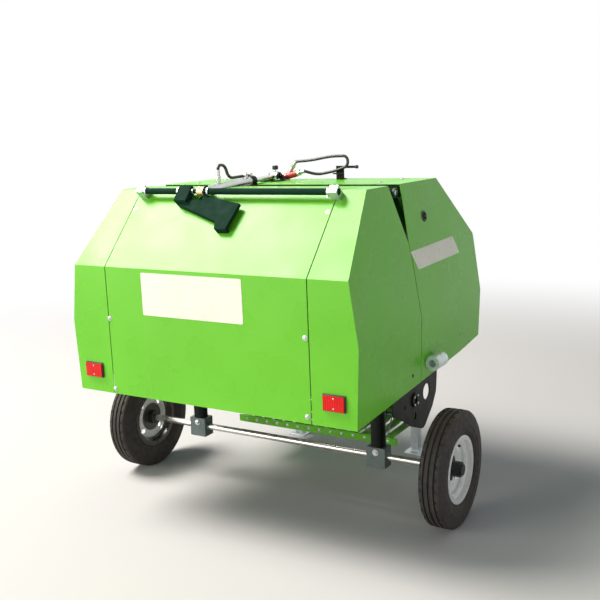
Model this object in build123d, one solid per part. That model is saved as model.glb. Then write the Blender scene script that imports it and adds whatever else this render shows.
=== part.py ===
# Three-point mounted round baler with a fixed roller chamber, a tined pickup and a hydraulic tailgate.
# Millimetres. +Y is the way the machine is towed, +X its right side, +Z up, the floor at Z = 0.
# Every shape is drawn from the rear face of the tailgate (Y = 0) and moved to the middle on saving.
import os
from math import atan2, cos, degrees, hypot, radians, sin, tan

from build123d import *

# How far a cutting tool runs past the face it cuts
PAST = 20.0

# Bale chamber: its rollers stand in a ring round the bale
BALE_RADIUS = 250.0
CHAMBER_Y = 500.0
CHAMBER_Z = 850.0
CHAMBER_HALF = 350.0
PLATE = 6.0
PLATE_OUT = CHAMBER_HALF + PLATE
ROLLER_RADIUS = 55.0
DRUM_WALL = 5.0
DRUM_END = 12.0
STUB_RADIUS = 15.0
STUB_END = 8.0
BEARING_RADIUS = 38.0
BEARING_LENGTH = 22.0
RUNNING_FIT = 0.05
SIDE_GAP = 6.0
RING_RADIUS = BALE_RADIUS + ROLLER_RADIUS
ROLLERS = [
    # name, angle from straight ahead in degrees
    ("front_roller_1", 72.0),
    ("front_roller_2", 36.0),
    ("front_roller_3", 0.0),
    ("floor_roller", 288.0),
    ("tail_roller_1", 108.0),
    ("tail_roller_2", 144.0),
    ("tail_roller_3", 180.0),
    ("tail_roller_4", 216.0),
    ("tail_roller_5", 252.0),
]

# Sheet covers: half width at the crease and how far the other heights draw in, then the side outline
SHEET = 3.0
CREASE_HALF = 638.0
BOTTOM_DRAW = 13.0
FOLD_DRAW = 31.0
TOP_DRAW = 83.0
BOTTOM_HALF = CREASE_HALF - BOTTOM_DRAW
FOLD_HALF = CREASE_HALF - FOLD_DRAW
TOP_HALF = CREASE_HALF - TOP_DRAW
WIDEST_HALF = max(BOTTOM_HALF, CREASE_HALF, FOLD_HALF)
BOTTOM_Z = 520.0
CREASE_Z = 803.0
FOLD_Z = 1025.0
TOP_Z = 1300.0
TOP_REAR_Y = 247.0
TOP_FRONT_Y = 862.0
FRONT_Y = 1146.0
FRONT_HIGH_Z = 1046.0
FRONT_LOW_Z = 598.0
CHIN_Y = 929.0
CHIN_Z = 574.0
SEAM_HALF = 450.0
SEAM_GAP = 4.0
SPLIT_GAP = 6.0
SPLIT_BOTTOM_Y = 526.0
SPLIT_KNEE_Y = 500.0
SPLIT_KNEE_BELOW_TOP = 220.0
SPLIT_KNEE_Z = TOP_Z - SPLIT_KNEE_BELOW_TOP
WEDGE_REAR_Y = 418.0
WEDGE_FRONT_Y = 519.0
LIP = 22.0
GRIP_HOLE = 17.0
GRIP_HOLE_Y = 676.0
GRIP_HOLE_BELOW_TOP = 134.0
GRIP_HOLE_Z = TOP_Z - GRIP_HOLE_BELOW_TOP

# Chamber plates stand this far inside the covers
PLATE_INSET = 70.0
PLATE_LOW_INSET = 10.0
INTAKE_FLOOR_Y = 680.0
INTAKE_FLOOR_Z = 490.0
PLATE_CHIN_Z = 554.0

# Tailgate hinge
HINGE_Y = 505.0
HINGE_BELOW_TOP = 32.0
HINGE_Z = TOP_Z - HINGE_BELOW_TOP
HINGE_PIN_RADIUS = 11.0
HINGE_PIN_END = 8.0
HINGE_ARM_X = 520.0
HINGE_ARM = 10.0
HINGE_ARM_HALF = 18.0
HINGE_LUG_GAP = 5.0
BEAM = 40.0
TAIL_BEAM_Y = 400.0
FRONT_BEAM_Y = 585.0
TOP_BEAM_Z = TOP_Z - SHEET - BEAM / 2

# Wheels: tyre and rim sections are half widths and radii about the axle
WHEEL_Y = 521.0
WHEEL_RADIUS = 226.0
WHEEL_X = 747.0
TYRE_HALF = 48.0
TYRE_HALF_RADIUS = 174.0
TREAD_HALF = 35.0
SHOULDER = 12.0
BEAD_HALF = 36.0
BEAD_RADIUS = 118.0
FLANGE_RADIUS = 131.0
RIM_SHEET = 4.0
RIM_WELL_RADIUS = 102.0
RIM_WELL_HALF = 17.0
RIM_SLOPE = 5.0
RIM_LEAN = 1.0
DISC_DISH = 15.0
DISC_BEND_RADIUS = 60.0
HAND_HOLES = 4
HAND_HOLE_RADIUS = 11.0
HAND_HOLE_RING = 80.0
HUB_RADIUS = 30.0
HUB_HALF = 40.0
HUB_CAP_RADIUS = 22.0
HUB_CAP = 8.0

# Axle, the blocks that clamp it and the posts that carry them
AXLE_RADIUS = 14.0
AXLE_SPINDLE = 10.0
AXLE_SHOULDER_GAP = 6.0
CLAMP_X = 441.0
CLAMP_WIDTH = 80.0
CLAMP_HEIGHT = 83.0
CLAMP_DEPTH = 58.0
POST_RADIUS = 30.0
POST_WALL = 4.0
POST_TOP_Z = 585.0
POST_TIE = 44.0
POST_TIE_Z = 530.0

# Latch pots on the front side covers
LATCH_RADIUS = 28.0
LATCH_BORE = 14.0
LATCH_BORE_DEPTH = 45.0
LATCH_OUT = 35.0
LATCH_X = BOTTOM_HALF + LATCH_OUT
LATCH_REAR_Y = 556.0
LATCH_LENGTH = 90.0
LATCH_Z = 617.0
LATCH_SADDLE_HALF = 17.0

# Pickup
REEL_Y = 945.0
REEL_Z = 330.0
REEL_TUBE_RADIUS = 25.0
REEL_SHAFT_RADIUS = 15.0
SHAFT_END_GAP = 1.0
REEL_BAR_RADIUS = 11.0
REEL_BAR_RING = 85.0
REEL_DISC_RADIUS = 101.0
REEL_DISC = 5.0
REEL_BARS = 4
REEL_FIRST_BAR = 45.0
TINE_REACH = 190.0
TINE_BEND_AT = 140.0
TINE_BEND = 14.0
TINE_RADIUS = 2.75
TINE_COIL_RADIUS = 16.5
TINE_COIL = 26.0
TINE_COUNT = 13
STRIPPER_RADIUS = 122.0
STRIPPER = 3.0
STRIPPER_RAMP = 174.0
STRIPPER_RAIL = 32.0
PICKUP_HALF = 405.0
PICKUP_BEARING = 16.0
REEL_DISC_IN = 36.0
REEL_DISC_X = PICKUP_HALF - REEL_DISC_IN
TINE_IN = 33.0
TINE_PITCH = 2 * (REEL_DISC_X - TINE_IN) / (TINE_COUNT - 1)
TINE_SLOT = 16.0
STRIPPER_WIDTH = TINE_PITCH - TINE_SLOT
PICKUP_PLATE = [
    # Y, Z and corner radius of the end plate, from its rear corner on round its foot
    (721.0, 545.0, 12.0),
    (721.0, 320.0, 30.0),
    (819.0, 277.0, 60.0),
    (911.0, 217.0, 60.0),
    (1040.0, 168.0, 50.0),
    (1140.0, 246.0, 60.0),
    (1186.0, 305.0, 60.0),
    (1198.0, 400.0, 30.0),
    (1150.0, 470.0, 40.0),
    (1110.0, 545.0, 30.0),
]
PICKUP_HOLES = [
    # Y, Z and radius of the holes through each end plate
    (1075.0, 333.0, 37.0),
    (945.0, 256.0, 16.0),
    (841.0, 322.0, 9.0),
]
HANGER_WIDTH = 70.0
HANGER = 8.0
HANGER_LOW_Z = 524.0
HANGER_HIGH_Z = 614.0
HANGER_FLOOR = 15.0

# Hitch
HITCH_TUBE = 50.0
HITCH_WALL = 5.7
HITCH_FRONT_Y = 1190.0
HITCH_PLATE = 16.0
LOWER_PIN_SHOULDER = 341.5
LOWER_PIN_RADIUS = 11.0
LOWER_PIN_LENGTH = 70.0
LOWER_PIN_AHEAD = 6.0
LOWER_PIN_Y = HITCH_FRONT_Y + LOWER_PIN_AHEAD
LOWER_PIN_Z = 500.0
LINK_PLATE = 12.0
LINK_PLATE_REACH = 26.0
LINK_PLATE_LOW = 40.0
LINK_PLATE_HIGH = 50.0
MAST_HEIGHT = 460.0
TOP_LINK_AHEAD = 12.0
TOP_LINK_Y = HITCH_FRONT_Y + TOP_LINK_AHEAD
TOP_LINK_RADIUS = 9.6
TOP_LINK_GAP = 52.0
TOP_LINK_EAR = 12.0
TOP_LINK_EAR_RADIUS = LOWER_PIN_Y + LINK_PLATE_REACH - TOP_LINK_Y
CROSS_TUBE = 60.0
CROSS_Y = HITCH_FRONT_Y - HITCH_TUBE - CROSS_TUBE / 2
CROSS_WALL = 5.0
CROSS_LOW_Z = 670.0
CROSS_HIGH_Z = 990.0

# Parking legs: square tubes that slide in the hitch uprights
LEG_TUBE = 38.0
LEG_WALL = 4.0
LEG_TOP_Z = 760.0
LEG_FOOT_HALF = 45.0
LEG_FOOT = 6.0
LEG_PIN_RADIUS = 6.5
LEG_PIN_PITCH = 50.0
LEG_PIN_HOLES = 5
LEG_PIN_LOW_Z = 520.0

# Gearbox and drive stub
GEARBOX_Z = 790.0
GEARBOX_DEEP = 112.0
GEARBOX_AHEAD = 8.0
GEARBOX_FRONT_Y = CROSS_Y + GEARBOX_AHEAD
GEARBOX_REAR_Y = GEARBOX_FRONT_Y - GEARBOX_DEEP
GEARBOX_HALF = 70.0
GEARBOX_FOOT = 20.0
GEARBOX_FOOT_REACH = 20.0
GEARBOX_NOSE_RADIUS = 45.0
GEARBOX_NOSE = 16.0
GEARBOX_TUBE_RADIUS = 24.0
GEARBOX_TUBE_BEHIND = 50.0
GEARBOX_TUBE_Y = CROSS_Y - GEARBOX_TUBE_BEHIND
SPLINE_RADIUS = 17.45
SPLINE_LENGTH = 85.0
SPLINE_NECK = 15.5
SPLINE_SEAT = 40.0
STUB_SHOW = 3.0

# Lift shaft and lever on the tailgate's slope
LIFT_Y = 205.0
LIFT_BELOW_TOP = 4.0
LIFT_Z = TOP_Z - LIFT_BELOW_TOP
LIFT_RADIUS = 12.0
LIFT_LEFT = -395.0
LIFT_RIGHT = 437.0
LIFT_BLOCK = 34.0
LIFT_WALL = 5.0
LEVER_BLOCK = 57.0
LEVER_BLOCK_GAP = 30.0
LEVER_BLOCK_REACH = 55.0
LEVER_EAR = 12.0
LEVER_EAR_LOW = 317.0
LEVER_TOP = 325.0
LEVER_MOUTH = 300.0
LEVER_LOW = 14.0
LEVER_HIGH = 28.0
LEVER_FOOT = [
    # X and height up the slope of the lever plate's outline, from its left side round its foot
    (-110.0, 245.0),
    (0.0, 205.0),
    (10.0, 170.0),
    (60.0, 170.0),
    (75.0, 285.0),
]
LEVER_WEB = [
    # X and height up the slope of the inside of the web along that outline
    (60.0, 180.0),
    (18.0, 180.0),
    (8.0, 213.0),
    (-106.0, 254.0),
]
LEVER_WEB_LEFT = -208.0

# Lift cylinder: its barrel turns on the lever, its rod's eye stands in a bracket on the top cover
CYLINDER_X = -118.0
CYLINDER_Y = 720.0
CYLINDER_ABOVE_TOP = 22.0
CYLINDER_Z = TOP_Z + CYLINDER_ABOVE_TOP
BARREL_RADIUS = 17.5
BARREL_START = 26.0
BARREL_END = 317.0
NECK_HALF = 12.0
GLAND_RADIUS = 18.5
GLAND_LENGTH = 34.0
PORT_RADIUS = 9.0
PORT_HEIGHT = 28.0
PORT_Y = 108.0
FRONT_PORT_Y = 296.0
FRONT_PORT_HEIGHT = 8.0
ROD_RADIUS = 10.0
ROD_INSIDE = 60.0
ROD_TRAVEL = 180.0
EYE_RADIUS = 17.0
EYE_WIDTH = 30.0
EYE_PIN_RADIUS = 8.0
EYE_SIDE_GAP = 0.3
EYE_PIN_END = 9.0
BRACKET_CHEEK = 8.0
BRACKET_HALF_WIDTH = 42.0
BRACKET_REAR = 60.0
BRACKET_FRONT = 12.0
BRACKET_FLOOR = 6.0
BRACKET_ROUND = 15.0
NOTCH_HALF = 24.0
NOTCH_REAR = 40.0
HOOD_NOTCH_HALF = 42.0
HOOD_NOTCH_FRONT = 600.0

# Oil lines: a hose along the barrel, and a loop of hose from one coupling to the other
HOSE_RADIUS = 6.0
HOSE_BEND_SHARE = 0.45
BARREL_HOSE = [
    # across, along the barrel from its pin, and above its axis
    (0.0, 108.0, 45.5),
    (0.0, 114.0, 86.0),
    (-8.0, 168.0, 82.0),
    (-16.0, 200.0, 26.0),
    (-16.0, 345.0, 22.0),
]
HOSE_CLIP_Y = 330.0
HOSE_CLIP = 14.0
HOSE_CLIP_LOW = 6.0
HOSE_CLIP_WALL = 3.0
LOOP_HOSE = [
    # X, Y, Z from the pale coupling over the hook and back to the red coupling
    (-57.0, 772.0, 1362.0),
    (-46.0, 772.0, 1377.5),
    (30.0, 776.0, 1382.0),
    (120.0, 782.0, 1397.0),
    (196.0, 786.0, 1397.0),
    (200.0, 784.0, 1356.0),
    (140.0, 780.0, 1336.0),
    (60.0, 770.0, 1322.0),
    (4.0, 757.0, 1338.0),
    (-16.0, 757.0, 1333.0),
]
VALVE_X = -140.0
VALVE_Y = 756.0
VALVE_WIDE = 30.0
VALVE_DEEP = 22.0
VALVE_HIGH = 19.0
VALVE_STEM = 4.0
VALVE_KNOB = 11.0
VALVE_KNOB_LOW = TOP_Z + 46.0
VALVE_KNOB_HIGH = VALVE_KNOB_LOW + 17.0
PIPE_RADIUS = 4.5
PIPE_Z = TOP_Z + 11.0
BLOCK_LEFT = -106.0
BLOCK_RIGHT = -84.0
BLOCK_REAR = 738.0
BLOCK_FRONT = 784.0
BLOCK_TOP = TOP_Z + 22.0
RED_COUPLING = 12.0
RED_LENGTH = 82.0
PALE_COUPLING = 8.5
PALE_LENGTH = 66.0
HOOK_LEFT = 134.0
HOOK_RIGHT = 170.0
HOOK_Y = 800.0
HOOK_SHEET = 4.0
HOOK_HIGH = TOP_Z + 56.0
HOOK_FOOT = 24.0
HOOK_SHELF_LOW = TOP_Z + 23.0
HOOK_SHELF = 5.0
HOOK_SHELF_REACH = 30.0
HOOK_PIN = 5.0
HOOK_PIN_REACH = 58.0

# Lamps at the rear corners
LAMP = 12.0
LAMP_IN_X = 498.0
LAMP_OUT_X = 586.0
LAMP_LOW_Z = 578.0
LAMP_HIGH_Z = 638.0

FRONT_REACH_Y = LOWER_PIN_Y + LINK_PLATE_REACH
REAR_REACH_Y = -LAMP
MIDDLE_Y = (FRONT_REACH_Y + REAR_REACH_Y) / 2

SIDES = [("left", -1), ("right", 1)]
nodes = {}


def box(x0, x1, y0, y1, z0, z1):
    """A block between two opposite corners."""
    middle = ((x0 + x1) / 2, (y0 + y1) / 2, (z0 + z1) / 2)
    return Pos(*middle) * Box(abs(x1 - x0), abs(y1 - y0), abs(z1 - z0))


def bar_x(radius, x0, x1, y, z):
    """A round bar along X."""
    return Pos((x0 + x1) / 2, y, z) * Rot(0, 90, 0) * Cylinder(radius, abs(x1 - x0))


def bar_y(radius, y0, y1, x, z):
    """A round bar along Y."""
    return Pos(x, (y0 + y1) / 2, z) * Rot(90, 0, 0) * Cylinder(radius, abs(y1 - y0))


def bar_z(radius, z0, z1, x, y):
    """A round bar along Z."""
    return Pos(x, y, (z0 + z1) / 2) * Cylinder(radius, abs(z1 - z0))


def side_plate(outline, x0, x1):
    """A plate across X whose outline is drawn in (Y, Z)."""
    low, high = sorted((x0, x1))
    face = Plane.YZ.offset(low) * Polygon(*outline, align=None)
    return extrude(face, amount=high - low, dir=(1, 0, 0))


def side_outline(drop=0.0):
    """The machine's outline in (Y, Z), its underside lowered by drop."""
    return [
        (0, BOTTOM_Z - drop),
        (0, FOLD_Z),
        (TOP_REAR_Y, TOP_Z),
        (TOP_FRONT_Y, TOP_Z),
        (FRONT_Y, FRONT_HIGH_Z),
        (FRONT_Y, FRONT_LOW_Z - drop),
        (CHIN_Y, CHIN_Z - drop),
    ]


def end_outline(drop=0.0):
    """The machine's outline in (X, Z), its underside lowered by drop."""
    skirt = [(BOTTOM_HALF, BOTTOM_Z - drop)] if drop else []
    right = skirt + [
        (BOTTOM_HALF, BOTTOM_Z),
        (CREASE_HALF, CREASE_Z),
        (FOLD_HALF, FOLD_Z),
        (TOP_HALF, TOP_Z),
    ]
    return right + [(-x, z) for x, z in reversed(right)]


def hull(inset=0.0, drop=0.0):
    """The covers' outer form, or the space inside them."""
    lengthways = Polygon(*side_outline(drop), align=None)
    crossways = Polygon(*end_outline(drop), align=None)
    if inset:
        lengthways = offset(lengthways, amount=-inset, kind=Kind.INTERSECTION)
        crossways = offset(crossways, amount=-inset, kind=Kind.INTERSECTION)
    long_form = extrude(
        Plane.YZ.offset(-WIDEST_HALF) * lengthways, amount=2 * WIDEST_HALF, dir=(1, 0, 0)
    )
    cross_form = extrude(Plane.XZ * crossways, amount=FRONT_Y, dir=(0, 1, 0))
    return long_form & cross_form


def ring_point(angle):
    """A roller's axis in (Y, Z)."""
    return (
        CHAMBER_Y + RING_RADIUS * cos(radians(angle)),
        CHAMBER_Z + RING_RADIUS * sin(radians(angle)),
    )


def split_outline(gap, rear):
    """The (Y, Z) outline behind or ahead of the line between tailgate and front covers."""
    shift = -gap / 2 if rear else gap / 2
    top_y = WEDGE_REAR_Y if rear else WEDGE_FRONT_Y
    far_y = -2 * PAST if rear else FRONT_Y + 2 * PAST
    low_z = 0
    high_z = TOP_Z + PAST
    line = [
        (SPLIT_BOTTOM_Y + shift, low_z),
        (SPLIT_BOTTOM_Y + shift, BOTTOM_Z),
        (SPLIT_KNEE_Y + shift, SPLIT_KNEE_Z),
        (top_y, TOP_Z),
        (top_y, high_z),
    ]
    return line + [(far_y, high_z), (far_y, low_z)]


def make_covers():
    """Sheet covers, cut from one shell along the real seams."""
    shell = hull() - hull(SHEET, BOTTOM_Z / 2)
    reach = WIDEST_HALF + PAST
    rear = side_plate(split_outline(SPLIT_GAP, True), -reach, reach)
    front = side_plate(split_outline(SPLIT_GAP, False), -reach, reach)
    tail_shell = shell & rear
    front_shell = shell & front
    for sign in (-1, 1):
        front_shell -= bar_x(GRIP_HOLE, sign * SEAM_HALF, sign * reach, GRIP_HOLE_Y, GRIP_HOLE_Z)
    seam = SEAM_HALF - SEAM_GAP / 2
    middle = box(-seam, seam, -PAST, FRONT_Y + PAST, 0, TOP_Z + PAST)
    lip = box(-seam, seam, SHEET, LIP, BOTTOM_Z, BOTTOM_Z + SHEET)
    notch = box(
        CYLINDER_X - NOTCH_HALF, CYLINDER_X + NOTCH_HALF, TOP_REAR_Y - NOTCH_REAR,
        WEDGE_REAR_Y + PAST, FOLD_Z, TOP_Z + PAST,
    )
    nodes["tail_cover"] = (tail_shell & middle) + lip - notch
    hood_low = CROSS_HIGH_Z + CROSS_TUBE / 2 + PLATE_LOW_INSET
    hood_space = box(-seam, seam, -PAST, FRONT_Y + PAST, hood_low, TOP_Z + PAST)
    notch = box(
        CYLINDER_X - HOOD_NOTCH_HALF, CYLINDER_X + HOOD_NOTCH_HALF,
        WEDGE_FRONT_Y - PAST, HOOD_NOTCH_FRONT, FOLD_Z, TOP_Z + PAST,
    )
    nodes["front_hood"] = (front_shell & hood_space) - notch
    wing = SEAM_HALF + SEAM_GAP / 2
    for side, sign in SIDES:
        outer = box(sign * wing, sign * reach, -PAST, FRONT_Y + PAST, 0, TOP_Z + PAST)
        corner_lip = box(
            sign * wing, sign * (BOTTOM_HALF - SHEET), SHEET, LIP, BOTTOM_Z, BOTTOM_Z + SHEET
        )
        nodes[f"tail_side_cover_{side}"] = (tail_shell & outer) + corner_lip
        nodes[f"front_side_cover_{side}"] = front_shell & outer


def bearing(y, z, sign):
    """A roller's bearing housing on the outer face of a chamber plate."""
    return bar_x(BEARING_RADIUS, sign * PLATE_OUT, sign * (PLATE_OUT + BEARING_LENGTH), y, z)


def bore(y, z, sign):
    """The hole for a roller's stub through a chamber plate and its bearing."""
    far = PLATE_OUT + BEARING_LENGTH + PAST
    return bar_x(STUB_RADIUS + RUNNING_FIT, sign * (CHAMBER_HALF - PAST), sign * far, y, z)


def make_chamber_plates():
    """The two pairs of plates that close the bale chamber and carry its rollers."""
    rear_edge = SPLIT_KNEE_Y - SPLIT_GAP / 2
    front_edge = SPLIT_KNEE_Y + SPLIT_GAP / 2
    beam_top = TOP_BEAM_Z + BEAM / 2
    fold_y, fold_z = ring_point(90)
    cross_front = CROSS_Y + CROSS_TUBE / 2
    tail_outline = [
        (rear_edge, BOTTOM_Z + PLATE_LOW_INSET),
        (rear_edge, fold_z),
        (TAIL_BEAM_Y + BEAM / 2, beam_top),
        (TOP_REAR_Y, TOP_Z - PLATE_INSET),
        (PLATE_INSET, FOLD_Z),
        (PLATE_INSET, CREASE_Z - 2 * PLATE_INSET),
        (3 * PLATE_INSET, BOTTOM_Z + PLATE_LOW_INSET),
    ]
    front_outline = [
        (front_edge, BOTTOM_Z - PLATE_LOW_INSET),
        (front_edge, fold_z),
        (FRONT_BEAM_Y - BEAM / 2, beam_top),
        (TOP_FRONT_Y - PLATE_INSET / 2, beam_top),
        (cross_front, FRONT_HIGH_Z - PLATE_INSET / 2),
        (cross_front, CROSS_LOW_Z - CROSS_TUBE / 2),
        (REEL_Y, PLATE_CHIN_Z),
        (INTAKE_FLOOR_Y, INTAKE_FLOOR_Z),
    ]
    for side, sign in SIDES:
        inner = sign * CHAMBER_HALF
        outer = sign * PLATE_OUT
        plates = {
            "tail": side_plate(tail_outline, inner, outer),
            "front": side_plate(front_outline, inner, outer),
        }
        for name, angle in ROLLERS:
            y, z = ring_point(angle)
            end = "tail" if name.startswith("tail") else "front"
            plates[end] += bearing(y, z, sign)
            plates[end] -= bore(y, z, sign)
        nodes[f"tail_plate_{side}"] = plates["tail"]
        nodes[f"chamber_plate_{side}"] = plates["front"]


def make_rollers():
    """One drum with two stub shafts for each place in the ring."""
    drum_half = CHAMBER_HALF - SIDE_GAP
    stub_half = PLATE_OUT + BEARING_LENGTH + STUB_END
    inside = drum_half - DRUM_END
    for name, angle in ROLLERS:
        y, z = ring_point(angle)
        drum = bar_x(ROLLER_RADIUS, -drum_half, drum_half, y, z)
        drum -= bar_x(ROLLER_RADIUS - DRUM_WALL, -inside, inside, y, z)
        nodes[name] = drum + bar_x(STUB_RADIUS, -stub_half, stub_half, y, z)


def make_hinge():
    """Cross beams of tailgate and front frame, with the arms and lugs of the hinge."""
    arm_in = HINGE_ARM_X
    arm_out = HINGE_ARM_X + HINGE_ARM
    lug_in = arm_out + HINGE_LUG_GAP
    lug_out = lug_in + HINGE_ARM
    half = BEAM / 2
    low = HINGE_Z - HINGE_ARM_HALF
    high = HINGE_Z + HINGE_ARM_HALF
    for side, sign in SIDES:
        arm = box(
            sign * PLATE_OUT, sign * arm_out, TAIL_BEAM_Y - half, TAIL_BEAM_Y + half,
            TOP_BEAM_Z - half, TOP_BEAM_Z + half,
        )
        arm += box(sign * arm_in, sign * arm_out, TAIL_BEAM_Y + half, HINGE_Y, low, high)
        arm += bar_x(HINGE_ARM_HALF, sign * arm_in, sign * arm_out, HINGE_Y, HINGE_Z)
        arm -= bar_x(
            HINGE_PIN_RADIUS + RUNNING_FIT, sign * (arm_in - PAST), sign * lug_in, HINGE_Y, HINGE_Z
        )
        nodes[f"tail_hinge_arm_{side}"] = arm
        lug = box(
            sign * PLATE_OUT, sign * lug_out, FRONT_BEAM_Y - half, FRONT_BEAM_Y + half,
            TOP_BEAM_Z - half, TOP_BEAM_Z + half,
        )
        lug += box(sign * lug_in, sign * lug_out, HINGE_Y, FRONT_BEAM_Y - half, low, high)
        lug += bar_x(HINGE_ARM_HALF, sign * lug_in, sign * lug_out, HINGE_Y, HINGE_Z)
        lug += bar_x(
            HINGE_PIN_RADIUS, sign * (arm_in - HINGE_PIN_END), sign * lug_out, HINGE_Y, HINGE_Z
        )
        nodes[f"hinge_lug_{side}"] = lug


def make_lift():
    """The cross shaft on the tailgate's top edge and the lever that the cylinder pulls."""
    slope = atan2(TOP_Z - FOLD_Z, TOP_REAR_Y)
    normal = (0, -sin(slope), cos(slope))
    base = Plane(origin=(0, 0, FOLD_Z), x_dir=(1, 0, 0), z_dir=normal)
    shaft_v = LIFT_Y * cos(slope) + (LIFT_Z - FOLD_Z) * sin(slope)
    shaft_w = -LIFT_Y * sin(slope) + (LIFT_Z - FOLD_Z) * cos(slope)
    eye_left = CYLINDER_X - EYE_WIDTH / 2 - EYE_SIDE_GAP
    eye_right = CYLINDER_X + EYE_WIDTH / 2 + EYE_SIDE_GAP

    def on_slope(outline, low, high):
        """A plate on the tailgate's slope between two heights above it."""
        return extrude(base.offset(low) * Polygon(*outline, align=None), amount=high - low, dir=normal)

    def strip(x0, x1, low, high):
        """A block across the slope at the shaft, as long as a bearing."""
        v0 = shaft_v - LIFT_BLOCK / 2
        v1 = shaft_v + LIFT_BLOCK / 2
        return on_slope([(x0, v0), (x1, v0), (x1, v1), (x0, v1)], low, high)

    block_right = eye_left - LEVER_BLOCK_GAP
    block_left = block_right - LEVER_BLOCK
    ear_right = eye_right + LEVER_EAR
    left = bar_x(LIFT_RADIUS, LIFT_LEFT - LIFT_BLOCK, block_left, LIFT_Y, LIFT_Z)
    right = bar_x(LIFT_RADIUS, ear_right, LIFT_RIGHT + LIFT_BLOCK, LIFT_Y, LIFT_Z)
    nodes["lift_shaft"] = left + right
    top = shaft_w + LIFT_RADIUS + LIFT_WALL
    bearings = strip(LIFT_LEFT - LIFT_BLOCK, LIFT_LEFT, 0, top)
    bearings += strip(LIFT_RIGHT, LIFT_RIGHT + LIFT_BLOCK, 0, top)
    bearings -= bar_x(
        LIFT_RADIUS + RUNNING_FIT, LIFT_LEFT - LIFT_BLOCK - PAST, LIFT_RIGHT + LIFT_BLOCK + PAST,
        LIFT_Y, LIFT_Z,
    )
    nodes["lift_bearings"] = bearings
    block_low = shaft_v - LEVER_BLOCK_REACH
    block_high = shaft_v + LIFT_BLOCK / 2
    plate = [(block_left, LEVER_TOP), (block_left, block_low), *LEVER_FOOT]
    plate += [
        (ear_right, LEVER_EAR_LOW), (ear_right, LEVER_TOP), (eye_right, LEVER_TOP),
        (eye_right, LEVER_MOUTH), (block_right, LEVER_MOUTH), (block_right, LEVER_TOP),
    ]
    web = [(LEVER_WEB_LEFT, LEVER_MOUTH), (block_left, LEVER_MOUTH), (block_left, block_low)]
    web += LEVER_FOOT[:-1] + LEVER_WEB
    lever = on_slope(plate, LEVER_LOW, LEVER_HIGH) + on_slope(web, 0, LEVER_HIGH)
    block = [
        (block_left, block_low), (block_right, block_low), (block_right, block_high),
        (block_left, block_high),
    ]
    lever += on_slope(block, LEVER_LOW, top)
    lever += strip(eye_right, ear_right, LEVER_LOW, top)
    lever += bar_x(EYE_PIN_RADIUS, block_right, eye_right, LIFT_Y, LIFT_Z)
    nodes["lift_lever"] = lever


def hose(points, radius):
    """A round hose along points, its corners rounded nearly as far as its runs allow."""
    corners = [Vector(*point) for point in points]
    bends = []
    for before, corner, after in zip(corners, corners[1:], corners[2:]):
        way_in = corner - before
        way_out = after - corner
        half_turn = radians(way_in.get_angle(way_out)) / 2
        bends.append(HOSE_BEND_SHARE * min(way_in.length, way_out.length) / tan(half_turn))
    line = FilletPolyline(*corners, radius=bends)
    start = Plane(origin=corners[0], z_dir=corners[1] - corners[0])
    return sweep(start * Circle(radius), path=line)


def make_cylinder():
    """The hydraulic cylinder that lifts the tailgate, and the bracket that its rod pulls on."""
    length = hypot(LIFT_Y - CYLINDER_Y, LIFT_Z - CYLINDER_Z)
    pitch = degrees(atan2(CYLINDER_Z - LIFT_Z, CYLINDER_Y - LIFT_Y))
    place = Pos(CYLINDER_X, LIFT_Y, LIFT_Z) * Rot(pitch, 0, 0)
    eye_half = EYE_WIDTH / 2
    barrel = bar_y(BARREL_RADIUS, BARREL_START, BARREL_END, 0, 0)
    barrel += box(-eye_half, eye_half, 0, BARREL_START, -NECK_HALF, NECK_HALF)
    barrel += bar_y(GLAND_RADIUS, BARREL_END, BARREL_END + GLAND_LENGTH, 0, 0)
    barrel += bar_x(EYE_RADIUS, -eye_half, eye_half, 0, 0)
    barrel += bar_z(PORT_RADIUS, 0, BARREL_RADIUS + PORT_HEIGHT, 0, PORT_Y)
    barrel += bar_z(PORT_RADIUS, 0, BARREL_RADIUS + FRONT_PORT_HEIGHT, 0, FRONT_PORT_Y)
    hose_x, hose_y, hose_z = BARREL_HOSE[-1]
    barrel += box(
        hose_x - HOSE_RADIUS - HOSE_CLIP_WALL, 0, HOSE_CLIP_Y, HOSE_CLIP_Y + HOSE_CLIP,
        HOSE_CLIP_LOW, hose_z + HOSE_RADIUS + HOSE_CLIP_WALL,
    )
    line = hose(BARREL_HOSE, HOSE_RADIUS)
    barrel -= line
    nodes["barrel_hose"] = place * line
    barrel -= bar_x(EYE_PIN_RADIUS + RUNNING_FIT, -EYE_WIDTH, EYE_WIDTH, 0, 0)
    rod_start = BARREL_END - ROD_INSIDE
    barrel -= bar_y(ROD_RADIUS + RUNNING_FIT, rod_start - ROD_TRAVEL, length, 0, 0)
    rod = bar_y(ROD_RADIUS, rod_start, length - EYE_PIN_RADIUS, 0, 0)
    rod += bar_x(EYE_RADIUS, -eye_half, eye_half, length, 0)
    nodes["cylinder_barrel"] = place * barrel
    nodes["cylinder_rod"] = place * rod
    bracket = None
    for sign in (-1, 1):
        x0 = CYLINDER_X + sign * (eye_half + EYE_SIDE_GAP)
        x1 = x0 + sign * BRACKET_CHEEK
        cheek = box(
            x0, CYLINDER_X + sign * BRACKET_HALF_WIDTH, CYLINDER_Y - BRACKET_REAR,
            CYLINDER_Y + BRACKET_FRONT, TOP_Z, TOP_Z + BRACKET_FLOOR,
        )
        cheek += box(
            x0, x1, CYLINDER_Y - BRACKET_ROUND, CYLINDER_Y + BRACKET_FRONT, TOP_Z, CYLINDER_Z
        )
        cheek += bar_x(BRACKET_ROUND, x0, x1, CYLINDER_Y, CYLINDER_Z)
        cheek += bar_x(EYE_PIN_RADIUS, x1, x1 + sign * EYE_PIN_END, CYLINDER_Y, CYLINDER_Z)
        bracket = cheek if bracket is None else bracket + cheek
    nodes["cylinder_bracket"] = bracket


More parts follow.
